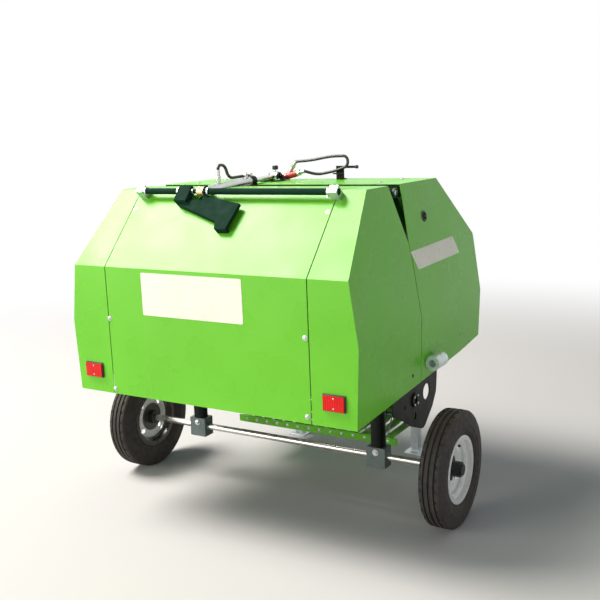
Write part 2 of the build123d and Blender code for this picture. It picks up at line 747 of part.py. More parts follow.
def coupling(end, inside, length, radius):
    """A round coupling that carries a hose's last run on past its end."""
    start = Vector(*end)
    way = start - Vector(*inside)
    return extrude(Plane(origin=start, z_dir=way) * Circle(radius), amount=length, dir=way)


def make_oil_lines():
    """A knobbed valve and two couplings on the hood, the loop of hose between them, and its hook."""
    lines = box(
        VALVE_X - VALVE_WIDE / 2, VALVE_X + VALVE_WIDE / 2, VALVE_Y - VALVE_DEEP / 2,
        VALVE_Y + VALVE_DEEP / 2, TOP_Z, TOP_Z + VALVE_HIGH,
    )
    lines += bar_z(VALVE_STEM, TOP_Z, VALVE_KNOB_HIGH, VALVE_X, VALVE_Y)
    lines += bar_z(VALVE_KNOB, VALVE_KNOB_LOW, VALVE_KNOB_HIGH, VALVE_X, VALVE_Y)
    lines += bar_x(PIPE_RADIUS, VALVE_X, BLOCK_RIGHT, VALVE_Y, PIPE_Z)
    lines += box(BLOCK_LEFT, BLOCK_RIGHT, BLOCK_REAR, BLOCK_FRONT, TOP_Z, BLOCK_TOP)
    lines += coupling(LOOP_HOSE[0], LOOP_HOSE[1], PALE_LENGTH, PALE_COUPLING)
    lines += coupling(LOOP_HOSE[-1], LOOP_HOSE[-2], RED_LENGTH, RED_COUPLING)
    nodes["oil_couplings"] = lines
    nodes["loop_hose"] = hose(LOOP_HOSE, HOSE_RADIUS)
    hook = box(HOOK_LEFT, HOOK_RIGHT, HOOK_Y, HOOK_Y + HOOK_SHEET, TOP_Z, HOOK_HIGH)
    hook += box(HOOK_LEFT, HOOK_RIGHT, HOOK_Y, HOOK_Y + HOOK_FOOT, TOP_Z, TOP_Z + HOOK_SHEET)
    hook += box(
        HOOK_LEFT, HOOK_RIGHT, HOOK_Y - HOOK_SHELF_REACH, HOOK_Y, HOOK_SHELF_LOW,
        HOOK_SHELF_LOW + HOOK_SHELF,
    )
    hook += bar_x(
        HOOK_PIN, HOOK_RIGHT - HOOK_SHEET, HOOK_RIGHT + HOOK_PIN_REACH, HOOK_Y, HOOK_HIGH - HOOK_PIN
    )
    nodes["hose_hook"] = hook


def turned(section, x):
    """A ring turned about the wheels' axis from a section in (offset from x, radius)."""
    return Pos(x, WHEEL_Y, WHEEL_RADIUS) * revolve(Plane.XY * section, axis=Axis.X)


def tyre_section():
    """Flat bead seat, bulged side walls and a rounded shoulder on each side of the tread."""
    right = Line((BEAD_HALF, BEAD_RADIUS), (BEAD_HALF, FLANGE_RADIUS))
    wall = ThreePointArc(
        (BEAD_HALF, FLANGE_RADIUS), (TYRE_HALF, TYRE_HALF_RADIUS),
        (TREAD_HALF + SHOULDER / 2, WHEEL_RADIUS - SHOULDER),
    )
    shoulder = ThreePointArc(
        (TREAD_HALF + SHOULDER / 2, WHEEL_RADIUS - SHOULDER),
        (TREAD_HALF + SHOULDER / 3, WHEEL_RADIUS - SHOULDER / 3),
        (TREAD_HALF, WHEEL_RADIUS),
    )
    half = [right, wall, shoulder]
    tread = Line((TREAD_HALF, WHEEL_RADIUS), (-TREAD_HALF, WHEEL_RADIUS))
    seat = Line((-BEAD_HALF, BEAD_RADIUS), (BEAD_HALF, BEAD_RADIUS))
    other = [mirror(edge, about=Plane.YZ) for edge in half]
    return make_face([*half, tread, *other, seat])


def rim_section():
    """Flanges, bead seats and the deeper well between them, in one sheet."""
    outside = [
        (BEAD_HALF + RIM_SHEET, FLANGE_RADIUS),
        (BEAD_HALF, FLANGE_RADIUS),
        (BEAD_HALF, BEAD_RADIUS),
        (RIM_WELL_HALF + RIM_SLOPE, BEAD_RADIUS),
        (RIM_WELL_HALF, RIM_WELL_RADIUS),
    ]
    inside = [
        (RIM_WELL_HALF - RIM_SHEET + RIM_LEAN, RIM_WELL_RADIUS - RIM_SHEET),
        (RIM_WELL_HALF + RIM_SLOPE + RIM_LEAN, BEAD_RADIUS - RIM_SHEET),
        (BEAD_HALF + RIM_SHEET, BEAD_RADIUS - RIM_SHEET),
    ]
    points = outside + [(-x, r) for x, r in reversed(outside)]
    points += [(-x, r) for x, r in reversed(inside)] + inside
    return Polygon(*points, align=None)


def make_wheels():
    """The two wheels: tyre, rim with its dished disc, and hub."""
    for side, sign in SIDES:
        centre = sign * WHEEL_X
        nodes[f"tyre_{side}"] = turned(tyre_section(), centre)
        rim = turned(rim_section(), centre)
        well = RIM_WELL_RADIUS - RIM_SHEET / 2
        face = sign * RIM_SHEET
        dish = -sign * DISC_DISH
        disc = [
            (0, well), (face, well), (dish + face, DISC_BEND_RADIUS), (dish + face, HUB_RADIUS),
            (dish, HUB_RADIUS), (dish, DISC_BEND_RADIUS),
        ]
        rim += turned(Polygon(*disc, align=None), centre)
        for hole in range(HAND_HOLES):
            angle = radians((hole + 0.5) * 360 / HAND_HOLES)
            rim -= bar_x(
                HAND_HOLE_RADIUS, centre - TYRE_HALF, centre + TYRE_HALF,
                WHEEL_Y + HAND_HOLE_RING * cos(angle), WHEEL_RADIUS + HAND_HOLE_RING * sin(angle),
            )
        nodes[f"rim_{side}"] = rim
        hub = bar_x(HUB_RADIUS, centre - HUB_HALF, centre + HUB_HALF, WHEEL_Y, WHEEL_RADIUS)
        hub -= bar_x(
            AXLE_SPINDLE + RUNNING_FIT, centre - sign * (HUB_HALF + PAST), centre + sign * HUB_HALF,
            WHEEL_Y, WHEEL_RADIUS,
        )
        cap_in = centre + sign * HUB_HALF
        hub += bar_x(HUB_CAP_RADIUS, cap_in, cap_in + sign * HUB_CAP, WHEEL_Y, WHEEL_RADIUS)
        nodes[f"hub_{side}"] = hub


def make_axle():
    """The through axle, the blocks that clamp it and the posts up to the chamber plates."""
    shoulder = WHEEL_X - HUB_HALF - AXLE_SHOULDER_GAP
    spindle = WHEEL_X + HUB_HALF - AXLE_SHOULDER_GAP
    axle = bar_x(AXLE_RADIUS, -shoulder, shoulder, WHEEL_Y, WHEEL_RADIUS)
    nodes["axle"] = axle + bar_x(AXLE_SPINDLE, -spindle, spindle, WHEEL_Y, WHEEL_RADIUS)
    half_width = CLAMP_WIDTH / 2
    clamp_top = WHEEL_RADIUS + CLAMP_HEIGHT / 2
    for side, sign in SIDES:
        x = sign * CLAMP_X
        clamp = box(
            x - half_width, x + half_width, WHEEL_Y - CLAMP_DEPTH / 2, WHEEL_Y + CLAMP_DEPTH / 2,
            WHEEL_RADIUS - CLAMP_HEIGHT / 2, clamp_top,
        )
        clamp -= bar_x(AXLE_RADIUS, x - CLAMP_WIDTH, x + CLAMP_WIDTH, WHEEL_Y, WHEEL_RADIUS)
        nodes[f"axle_clamp_{side}"] = clamp
        post = bar_z(POST_RADIUS, clamp_top, POST_TOP_Z, x, WHEEL_Y)
        tie = box(
            sign * PLATE_OUT, x, SPLIT_KNEE_Y + SPLIT_GAP, SPLIT_KNEE_Y + SPLIT_GAP + POST_TIE,
            POST_TIE_Z, POST_TIE_Z + POST_TIE,
        )
        post += tie
        post -= bar_z(POST_RADIUS - POST_WALL, clamp_top - PAST, POST_TOP_Z + PAST, x, WHEEL_Y)
        nodes[f"axle_post_{side}"] = post


def make_latches():
    """A bored pot on a saddle at the foot of each front side cover, for the tailgate's latch."""
    outside = hull()
    front = LATCH_REAR_Y + LATCH_LENGTH
    for side, sign in SIDES:
        x = sign * LATCH_X
        pot = bar_y(LATCH_RADIUS, LATCH_REAR_Y, front, x, LATCH_Z)
        pot += box(
            sign * TOP_HALF, x, LATCH_REAR_Y + LATCH_SADDLE_HALF, front - LATCH_SADDLE_HALF,
            LATCH_Z - LATCH_SADDLE_HALF, LATCH_Z + LATCH_SADDLE_HALF,
        )
        pot -= bar_y(LATCH_BORE, LATCH_REAR_Y - PAST, LATCH_REAR_Y + LATCH_BORE_DEPTH, x, LATCH_Z)
        nodes[f"latch_pot_{side}"] = pot - outside


def tine_bar():
    """One bar of the reel with its coiled tines, standing straight up from the axis."""
    bar = bar_x(REEL_BAR_RADIUS, -REEL_DISC_X, REEL_DISC_X, 0, REEL_BAR_RING)
    tip_z = (TINE_REACH**2 - TINE_BEND**2) ** 0.5
    lean = degrees(atan2(TINE_BEND, tip_z - TINE_BEND_AT))
    for tine in range(TINE_COUNT):
        x = (tine - (TINE_COUNT - 1) / 2) * TINE_PITCH
        bar += bar_x(TINE_COIL_RADIUS, x - TINE_COIL / 2, x + TINE_COIL / 2, 0, REEL_BAR_RING)
        bar += bar_z(TINE_RADIUS, REEL_BAR_RING, TINE_BEND_AT, x, 0)
        length = hypot(TINE_BEND, tip_z - TINE_BEND_AT)
        tip = Pos(x, 0, TINE_BEND_AT) * Rot(lean, 0, 0) * Pos(0, 0, length / 2)
        bar += tip * Cylinder(TINE_RADIUS, length)
        bar += Pos(x, 0, TINE_BEND_AT) * Sphere(TINE_RADIUS)
    return bar


def make_pickup():
    """Tined reel, its stripper bands, and the end plates that carry both."""
    reel = bar_x(REEL_TUBE_RADIUS, -REEL_DISC_X, REEL_DISC_X, 0, 0)
    shaft_half = PICKUP_HALF - SHAFT_END_GAP
    reel += bar_x(REEL_SHAFT_RADIUS, -shaft_half, shaft_half, 0, 0)
    for x in (-REEL_DISC_X, 0, REEL_DISC_X):
        reel += bar_x(REEL_DISC_RADIUS, x - REEL_DISC / 2, x + REEL_DISC / 2, 0, 0)
    bar = tine_bar()
    for index in range(REEL_BARS):
        reel += Rot(REEL_FIRST_BAR + index * 360 / REEL_BARS, 0, 0) * bar
    nodes["pickup_reel"] = Pos(0, REEL_Y, REEL_Z) * reel
    outer = STRIPPER_RADIUS + STRIPPER
    half = STRIPPER_WIDTH / 2
    bands = None
    for gap in range(TINE_COUNT + 1):
        x = (gap - TINE_COUNT / 2) * TINE_PITCH
        band = bar_x(outer, x - half, x + half, REEL_Y, REEL_Z)
        band -= bar_x(STRIPPER_RADIUS, x - STRIPPER_WIDTH, x + STRIPPER_WIDTH, REEL_Y, REEL_Z)
        band -= box(
            x - STRIPPER_WIDTH, x + STRIPPER_WIDTH, REEL_Y - outer - PAST, REEL_Y,
            REEL_Z - outer - PAST, REEL_Z + outer + PAST,
        )
        for z0, z1 in ((STRIPPER_RADIUS, outer), (-outer, -STRIPPER_RADIUS)):
            band += box(
                x - half, x + half, REEL_Y - STRIPPER_RAMP, REEL_Y, REEL_Z + z0, REEL_Z + z1
            )
        bands = band if bands is None else bands + band
    rail_y = REEL_Y - STRIPPER_RAMP
    top = REEL_Z + outer
    low = REEL_Z - STRIPPER_RADIUS
    for z0, z1 in ((top - STRIPPER_RAIL, top), (low - STRIPPER_RAIL, low)):
        bands += box(-PICKUP_HALF, PICKUP_HALF, rail_y - PLATE, rail_y, z0, z1)
    nodes["pickup_strippers"] = bands
    points = [(y, z) for y, z, corner in PICKUP_PLATE]
    face = Polygon(*points, align=None)
    for y, z, corner in PICKUP_PLATE:
        vertex = face.vertices().sort_by_distance((y, z, 0))[0]
        face = fillet(vertex, corner)
    for side, sign in SIDES:
        low_x, high_x = sorted((sign * PICKUP_HALF, sign * (PICKUP_HALF + PLATE)))
        plate = extrude(Plane.YZ.offset(low_x) * face, amount=high_x - low_x, dir=(1, 0, 0))
        for y, z, radius in PICKUP_HOLES:
            plate -= bar_x(radius, low_x - PAST, high_x + PAST, y, z)
        inner = sign * PICKUP_HALF
        plate += bar_x(BEARING_RADIUS, inner, inner - sign * PICKUP_BEARING, REEL_Y, REEL_Z)
        plate -= bar_x(
            REEL_SHAFT_RADIUS + RUNNING_FIT, inner, inner - sign * (PICKUP_BEARING + PAST),
            REEL_Y, REEL_Z,
        )
        hanger = box(
            sign * PLATE_OUT, inner, REEL_Y - HANGER_WIDTH, REEL_Y, HANGER_LOW_Z,
            HANGER_LOW_Z + HANGER_FLOOR,
        )
        hanger += box(
            sign * PLATE_OUT, sign * (PLATE_OUT + HANGER), REEL_Y - HANGER_WIDTH, REEL_Y,
            HANGER_LOW_Z, HANGER_HIGH_Z,
        )
        nodes[f"pickup_end_{side}"] = plate + hanger


def make_hitch():
    """Cross tubes, hollow uprights, lower pins and top link ears."""
    half = CROSS_TUBE / 2
    hollow = half - CROSS_WALL
    for name, z in (("cross_tube_low", CROSS_LOW_Z), ("cross_tube_high", CROSS_HIGH_Z)):
        tube = box(-CHAMBER_HALF, CHAMBER_HALF, CROSS_Y - half, CROSS_Y + half, z - half, z + half)
        nodes[name] = tube - box(
            -CHAMBER_HALF - PAST, CHAMBER_HALF + PAST, CROSS_Y - hollow, CROSS_Y + hollow,
            z - hollow, z + hollow,
        )
    rear_y = HITCH_FRONT_Y - HITCH_TUBE
    foot_z = LOWER_PIN_Z - LINK_PLATE_LOW
    top_z = CROSS_HIGH_Z + half
    frame = None
    for sign in (-1, 1):
        x0 = sign * (LOWER_PIN_SHOULDER - HITCH_TUBE)
        x1 = sign * LOWER_PIN_SHOULDER
        upright = box(x0, x1, rear_y, HITCH_FRONT_Y, foot_z, top_z)
        upright -= box(
            x0 + sign * HITCH_WALL, x1 - sign * HITCH_WALL, rear_y + HITCH_WALL,
            HITCH_FRONT_Y - HITCH_WALL, foot_z - PAST, top_z + PAST,
        )
        upright += box(
            x1 - sign * LINK_PLATE, x1, HITCH_FRONT_Y, FRONT_REACH_Y, foot_z,
            LOWER_PIN_Z + LINK_PLATE_HIGH,
        )
        upright += bar_x(LOWER_PIN_RADIUS, x1, x1 + sign * LOWER_PIN_LENGTH, LOWER_PIN_Y, LOWER_PIN_Z)
        frame = upright if frame is None else frame + upright
    inner = LOWER_PIN_SHOULDER - HITCH_TUBE
    plate_front = rear_y + HITCH_PLATE
    frame += box(-inner, inner, rear_y, plate_front, CROSS_HIGH_Z - half, top_z)
    mast_z = LOWER_PIN_Z + MAST_HEIGHT
    reach = TOP_LINK_EAR_RADIUS
    for sign in (-1, 1):
        x0 = sign * TOP_LINK_GAP / 2
        x1 = x0 + sign * TOP_LINK_EAR
        outline = [
            (plate_front, mast_z - reach), (TOP_LINK_Y, mast_z - reach),
            (TOP_LINK_Y, mast_z + reach), (plate_front, top_z),
        ]
        ear = side_plate(outline, x0, x1) + bar_x(reach, x0, x1, TOP_LINK_Y, mast_z)
        frame += ear - bar_x(TOP_LINK_RADIUS, x0 - PAST, x1 + PAST, TOP_LINK_Y, mast_z)
    nodes["hitch_frame"] = frame


def make_legs():
    """Square parking legs that slide in the hitch uprights, with holes for their locking pins."""
    x_middle = LOWER_PIN_SHOULDER - HITCH_TUBE / 2
    y = HITCH_FRONT_Y - HITCH_TUBE / 2
    half = LEG_TUBE / 2
    hollow = half - LEG_WALL
    for side, sign in SIDES:
        x = sign * x_middle
        leg = box(x - half, x + half, y - half, y + half, LEG_FOOT, LEG_TOP_Z)
        leg -= box(x - hollow, x + hollow, y - hollow, y + hollow, LEG_FOOT, LEG_TOP_Z + PAST)
        leg += box(
            x - LEG_FOOT_HALF, x + LEG_FOOT_HALF, y - LEG_FOOT_HALF, y + LEG_FOOT_HALF, 0, LEG_FOOT
        )
        for hole in range(LEG_PIN_HOLES):
            z = LEG_PIN_LOW_Z - hole * LEG_PIN_PITCH
            leg -= bar_y(LEG_PIN_RADIUS, y - HITCH_TUBE, y + HITCH_TUBE, x, z)
        nodes[f"parking_leg_{side}"] = leg


def make_drive():
    """The gearbox on the lower cross tube and its splined input stub."""
    low = CROSS_LOW_Z + CROSS_TUBE / 2
    case_low = low + GEARBOX_FOOT
    case = box(
        -GEARBOX_HALF, GEARBOX_HALF, GEARBOX_REAR_Y, GEARBOX_FRONT_Y, case_low,
        2 * GEARBOX_Z - case_low,
    )
    case += bar_y(
        GEARBOX_NOSE_RADIUS, GEARBOX_FRONT_Y, GEARBOX_FRONT_Y + GEARBOX_NOSE, 0, GEARBOX_Z
    )
    foot_half = GEARBOX_HALF + GEARBOX_FOOT_REACH
    case += box(
        -foot_half, foot_half, CROSS_Y - CROSS_TUBE / 2, CROSS_Y + CROSS_TUBE / 2, low, case_low
    )
    case += bar_x(
        GEARBOX_TUBE_RADIUS, -CHAMBER_HALF, -GEARBOX_HALF, GEARBOX_TUBE_Y, GEARBOX_Z
    )
    nose = GEARBOX_FRONT_Y + GEARBOX_NOSE
    case -= bar_y(SPLINE_NECK + RUNNING_FIT, nose - SPLINE_SEAT, nose + PAST, 0, GEARBOX_Z)
    nodes["gearbox"] = case
    stub = bar_y(SPLINE_NECK, nose - SPLINE_SEAT, nose + STUB_SHOW, 0, GEARBOX_Z)
    nodes["drive_stub"] = stub + bar_y(
        SPLINE_RADIUS, nose + STUB_SHOW, nose + STUB_SHOW + SPLINE_LENGTH, 0, GEARBOX_Z
    )


def make_lamps():
    """Red lamps at the rear corners."""
    for side, sign in SIDES:
        nodes[f"tail_lamp_{side}"] = box(
            sign * LAMP_IN_X, sign * LAMP_OUT_X, -LAMP, 0, LAMP_LOW_Z, LAMP_HIGH_Z
        )


make_covers()
make_chamber_plates()
make_rollers()
make_hinge()
make_lift()
make_cylinder()
make_oil_lines()
make_wheels()
make_axle()
make_latches()
make_pickup()
make_hitch()
make_legs()
make_drive()
make_lamps()

os.makedirs("parts", exist_ok=True)
for name, shape in nodes.items():
    export_step(Pos(0, -MIDDLE_Y, 0) * shape, f"parts/{name}.step")
print(len(nodes), "nodes, middle at", MIDDLE_Y)
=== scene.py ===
from math import atan2, cos, hypot, pi, radians, sin

import bmesh
import bpy
from mathutils import Matrix, Vector


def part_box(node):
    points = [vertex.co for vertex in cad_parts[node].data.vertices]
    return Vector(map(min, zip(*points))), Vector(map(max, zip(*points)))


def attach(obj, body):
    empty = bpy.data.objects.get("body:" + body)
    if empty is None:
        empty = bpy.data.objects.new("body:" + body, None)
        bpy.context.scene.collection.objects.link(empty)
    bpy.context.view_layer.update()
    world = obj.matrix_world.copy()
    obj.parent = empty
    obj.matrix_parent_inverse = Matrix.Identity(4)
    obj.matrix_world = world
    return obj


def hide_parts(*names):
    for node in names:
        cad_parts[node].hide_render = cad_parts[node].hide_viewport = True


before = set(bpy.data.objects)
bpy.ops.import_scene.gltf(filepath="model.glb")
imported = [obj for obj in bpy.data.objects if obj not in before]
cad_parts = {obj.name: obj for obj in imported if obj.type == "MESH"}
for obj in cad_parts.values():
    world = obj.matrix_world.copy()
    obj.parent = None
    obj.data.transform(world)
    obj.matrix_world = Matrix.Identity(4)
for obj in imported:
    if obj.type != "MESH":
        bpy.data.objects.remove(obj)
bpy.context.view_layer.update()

# Camera
# It stands behind the baler's right rear corner, a little above its covers,
# and looks down on it, turned and tilted as the photograph's edges ask.
REAR_FACE = -0.605
UP = Vector((0, 0, 1))
EYE = Vector((1.9364, -3.073, 1.5112))
YAW, PITCH, ROLL = radians(31.53), radians(10.93), radians(2.27)
LENS, SENSOR = 52.96, 36.0
ahead = Vector((-sin(YAW) * cos(PITCH), cos(YAW) * cos(PITCH), -sin(PITCH)))
level = ahead.cross(UP).normalized()
down = ahead.cross(level)
across = cos(ROLL) * level + sin(ROLL) * down
below = cos(ROLL) * down - sin(ROLL) * level
camera_data = bpy.data.cameras.new("camera")
camera_data.lens = LENS
camera_data.sensor_width = SENSOR
camera = bpy.data.objects.new("camera", camera_data)
turn = Matrix((across, -below, -ahead)).transposed().to_4x4()
camera.matrix_world = Matrix.Translation(EYE) @ turn
bpy.context.scene.collection.objects.link(camera)
bpy.context.scene.camera = camera
bpy.context.scene.view_settings.view_transform = "Standard"

# Floor and light
# A plain pale floor that runs out into white, a soft even sky, and three broad lamps: one high at
# the left, which makes the slope shine, one behind, and a faint low one for the shaded wheel.
FLOOR_HALF = 40.0
FLOOR_COLOUR, FLOOR_ROUGH, FLOOR_SHINE = (0.60, 0.59, 0.57, 1.0), 0.9, 0.1
FADE_NEAR, FADE_FAR = 2.4, 5.5
SKY = (0.84, 0.92, 1.0, 1.0)
SKY_LEVEL = 0.27
LAMP_DISTANCE = 10.0
LAMPS = (
    # name, way towards it, size, power and colour
    ("key_lamp", (-0.53, -0.22, 0.82), 4.6, 1450.0, (1.0, 0.96, 0.92)),
    ("fill_lamp", (-0.55, -0.80, 0.22), 5.0, 520.0, (1.0, 0.95, 0.90)),
    ("low_lamp", (0.90, -0.40, 0.06), 3.0, 90.0, (1.0, 0.98, 0.95)),
)
WHITE = (1.0, 1.0, 1.0, 1.0)


def as_mesh(name, shape):
    """The mesh of a finished shape."""
    mesh = bpy.data.meshes.new(name)
    shape.to_mesh(mesh)
    shape.free()
    return mesh


def add_node(tree, kind, inputs=None, **settings):
    """A shader node's outputs, with its settings made and each input set or linked to a socket."""
    node = tree.nodes.new(f"ShaderNode{kind}")
    for setting, value in settings.items():
        setattr(node, setting, value)
    for socket, value in (inputs or {}).items():
        if isinstance(value, bpy.types.NodeSocket):
            tree.links.new(value, node.inputs[socket])
        else:
            node.inputs[socket].default_value = value
    return node.outputs


def seen(tree):
    """1 where the camera, a mirror or glass looks straight at a surface, else 0."""
    path = add_node(tree, "LightPath")
    total = path["Is Camera Ray"]
    for ray in ("Is Glossy Ray", "Is Transmission Ray"):
        total = add_node(tree, "Math", {0: total, 1: path[ray]}, use_clamp=True)[0]
    return total


floor_shape = bmesh.new()
bmesh.ops.create_grid(floor_shape, x_segments=1, y_segments=1, size=FLOOR_HALF)
floor_mesh = as_mesh("floor", floor_shape)
floor = bpy.data.objects.new("floor", floor_mesh)
bpy.context.scene.collection.objects.link(floor)
floor_material = bpy.data.materials.new("pale_floor")
floor_material.use_nodes = True
floor_tree = floor_material.node_tree
floor_shader = floor_tree.nodes["Principled BSDF"]
floor_shader.inputs["Base Color"].default_value = FLOOR_COLOUR
floor_shader.inputs["Roughness"].default_value = FLOOR_ROUGH
floor_shader.inputs["Specular IOR Level"].default_value = FLOOR_SHINE
floor_where = add_node(floor_tree, "TexCoord")["Object"]
floor_reach = add_node(floor_tree, "VectorMath", {0: floor_where}, operation="LENGTH")["Value"]
floor_fade = add_node(
    floor_tree, "MapRange", {"Value": floor_reach, "From Min": FADE_NEAR, "From Max": FADE_FAR},
    interpolation_type="SMOOTHSTEP",
)["Result"]
floor_share = add_node(floor_tree, "Math", {0: floor_fade, 1: seen(floor_tree)}, operation="MULTIPLY")
floor_white = add_node(floor_tree, "Emission", {"Color": WHITE})
floor_choice = add_node(
    floor_tree, "MixShader", {0: floor_share[0], 1: floor_shader.outputs[0], 2: floor_white[0]},
)
floor_tree.links.new(floor_choice[0], floor_tree.nodes["Material Output"].inputs["Surface"])
floor_mesh.materials.append(floor_material)

world = bpy.data.worlds.new("sky")
bpy.context.scene.world = world
world.use_nodes = True
sky_tree = world.node_tree
sky_light = sky_tree.nodes["Background"]
sky_light.inputs["Color"].default_value = SKY
sky_light.inputs["Strength"].default_value = SKY_LEVEL
sky_seen = add_node(sky_tree, "Background", {"Color": WHITE})
sky_choice = add_node(
    sky_tree, "MixShader", {0: seen(sky_tree), 1: sky_light.outputs[0], 2: sky_seen[0]},
)
sky_tree.links.new(sky_choice[0], sky_tree.nodes["World Output"].inputs["Surface"])

for name, towards, size, power, colour in LAMPS:
    lamp_data = bpy.data.lights.new(name, "AREA")
    lamp_data.size = size
    lamp_data.energy = power
    lamp_data.color = colour
    lamp = bpy.data.objects.new(name, lamp_data)
    way = Vector(towards).normalized()
    lamp.matrix_world = (
        Matrix.Translation(way * LAMP_DISTANCE) @ way.to_track_quat("Z", "Y").to_matrix().to_4x4()
    )
    bpy.context.scene.collection.objects.link(lamp)

# Sheet covers
# Bent steel sheets, 3 mm thick, in a bright glossy green, slightly wavy as thin sheet is,
# with a little bare metal where their edges are rubbed.
DUST_SCALE, RUB_SCALE, WAVE_SCALE = 7.0, 45.0, 3.5
COAT_ROUGH, BUMP_STRENGTH, SHADE_EDGE_BLUR = 0.12, 0.5, 0.001


def finish(
    name, colour, rough, metal=0.0, spread=0.06, cloud=2.5, grain=90.0, relief=0.0002,
    wave=0.0, rubbed=None, rub=0.0012, dust=0.0, dust_colour=(0.36, 0.31, 0.23), coat=0.0, shine=0.5,
    inner=None,
):
    """A surface whose colour and gloss drift, with rubbed edges and dust on what faces up.

    Inner is a distance from the machine's middle plane and the colour of painted shade for all that lies
    nearer.
    """
    material = bpy.data.materials.new(name)
    material.use_nodes = True
    tree = material.node_tree
    shader = tree.nodes["Principled BSDF"]
    shader.inputs["Metallic"].default_value = metal
    shader.inputs["Specular IOR Level"].default_value = shine
    shader.inputs["Coat Weight"].default_value = coat
    shader.inputs["Coat Roughness"].default_value = COAT_ROUGH
    where = add_node(tree, "TexCoord")["Object"]

    def noise(scale, detail=3.0):
        """A soft random pattern over the piece."""
        return add_node(tree, "TexNoise", {"Vector": where, "Scale": scale, "Detail": detail})[0]

    def ramp(value, low, high, start=0.0, end=1.0):
        """The value between low and high, spread from start to end."""
        spans = {"Value": value, "From Min": low, "From Max": high, "To Min": start, "To Max": end}
        return add_node(tree, "MapRange", spans)["Result"]

    def times(first, second):
        """Two masks multiplied."""
        return add_node(tree, "Math", {0: first, 1: second}, operation="MULTIPLY")[0]

    def mixed(amount, first, second):
        """One colour over another by a mask."""
        under, over = ((*tint, 1.0) if isinstance(tint, tuple) else tint for tint in (first, second))
        return add_node(tree, "Mix", {0: amount, 6: under, 7: over}, data_type="RGBA")[2]

    def bump(height, distance, **normal):
        """A surface raised by a pattern."""
        inputs = {"Distance": distance, "Strength": BUMP_STRENGTH, "Height": height, **normal}
        return add_node(tree, "Bump", inputs)["Normal"]

    darker = tuple(channel * (1 - spread) for channel in colour)
    lighter = tuple(min(channel * (1 + spread), 1.0) for channel in colour)
    tint = mixed(ramp(noise(cloud), 0.3, 0.7), darker, lighter)
    gloss = ramp(noise(cloud * 4), 0.3, 0.7, rough * 0.85, min(rough * 1.2, 1.0))
    normal = add_node(tree, "NewGeometry")["Normal"]
    if dust:
        lying = ramp(add_node(tree, "SeparateXYZ", {0: normal})["Z"], 0.2, 1.0, 0.15, 1.0)
        tint = mixed(times(lying, ramp(noise(DUST_SCALE, 8.0), 0.35, 0.75, 0.0, dust)), tint, dust_colour)
    # Painted shade: what lies nearer the middle plane than the given distance takes the given dark colour.
    if inner:
        reach, shade_colour = inner
        aside = add_node(tree, "SeparateXYZ", {0: where})["X"]
        away = add_node(tree, "Math", {0: aside}, operation="ABSOLUTE")[0]
        tint = mixed(ramp(away, reach + SHADE_EDGE_BLUR, reach - SHADE_EDGE_BLUR), tint, shade_colour)
    if rubbed:
        rounded = add_node(tree, "Bevel", {"Radius": rub}, samples=4)[0]
        facing = add_node(tree, "VectorMath", {0: rounded, 1: normal}, operation="DOT_PRODUCT")
        edge = ramp(facing["Value"], 0.98, 0.80)
        tint = mixed(times(edge, ramp(noise(RUB_SCALE, 6.0), 0.45, 0.75)), tint, rubbed)
    tree.links.new(tint, shader.inputs["Base Color"])
    tree.links.new(gloss, shader.inputs["Roughness"])
    swell = {"Normal": bump(noise(WAVE_SCALE, 1.0), wave)} if wave else {}
    tree.links.new(bump(noise(grain), relief, **swell), shader.inputs["Normal"])
    return material


def dress(material, *names):
    """Gives CAD nodes their finish."""
    for name in names:
        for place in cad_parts[name].material_slots:
            place.material = material


SIDES = (("left", -1), ("right", 1))
COVERS = ["tail_cover", "front_hood"]
for side, _ in SIDES:
    COVERS += [f"tail_side_cover_{side}", f"front_side_cover_{side}"]
cover_paint = finish(
    "cover_paint", (0.145, 0.540, 0.024), 0.28, spread=0.05, cloud=1.6, grain=260.0, relief=0.00012,
    wave=0.006, rubbed=(0.52, 0.55, 0.50), dust=0.05, shine=0.26,
)
dress(cover_paint, *COVERS)


SHEET_EDGE, SAME_POINT, LEAST_FOLD = 0.0012, 1e-5, radians(15)


def soften(width, *names):
    """Rounds the folds and cut edges of CAD nodes a little, as a press and a file leave them."""
    for name in names:
        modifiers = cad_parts[name].modifiers
        modifiers.new("weld", "WELD").merge_threshold = SAME_POINT
        bevel = modifiers.new("edges", "BEVEL")
        bevel.width = width
        bevel.segments = 2
        bevel.limit_method = "ANGLE"
        bevel.angle_limit = LEAST_FOLD
        modifiers.new("flat", "WEIGHTED_NORMAL")


soften(SHEET_EDGE, *COVERS)

# Blank plates
# Thin foils stuck on the rear cover and on each front side cover, bare here, a little yellowed,
# with rounded corners and rubbed edges. The side ones bend over the cover's fold.
RIGHT, FRONT = Vector((1, 0, 0)), Vector((0, 1, 0))
FOIL = 0.0008
REAR_FOIL = ((-0.272, 0.848), (0.185, 0.848), (0.185, 1.010), (-0.272, 1.010))
SIDE_FOIL = ((0.498, 1.052), (0.917, 1.060), (0.961, 0.987), (0.546, 0.980))
REAR_CORNER, SIDE_CORNER = 0.006, 0.005
FOLD_Z, TOP_Z = 1.025, 1.300
FOLD_HALF, TOP_HALF = 0.607, 0.555
# Height and half width of the covers at each fold, for what lies on their sides
COVER_SECTION = ((0.520, 0.625), (0.803, 0.638), (FOLD_Z, FOLD_HALF), (TOP_Z, TOP_HALF))


def make(name, shape, material, body, sharp=35.0):
    """A finished piece from its mesh, smooth but for its sharp edges, riding on its body."""
    mesh = as_mesh(name, shape)
    mesh.materials.append(material)
    mesh.polygons.foreach_set("use_smooth", [True] * len(mesh.polygons))
    mesh.set_sharp_from_angle(angle=radians(sharp))
    piece = bpy.data.objects.new(name, mesh)
    bpy.context.scene.collection.objects.link(piece)
    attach(piece, body)
    return piece


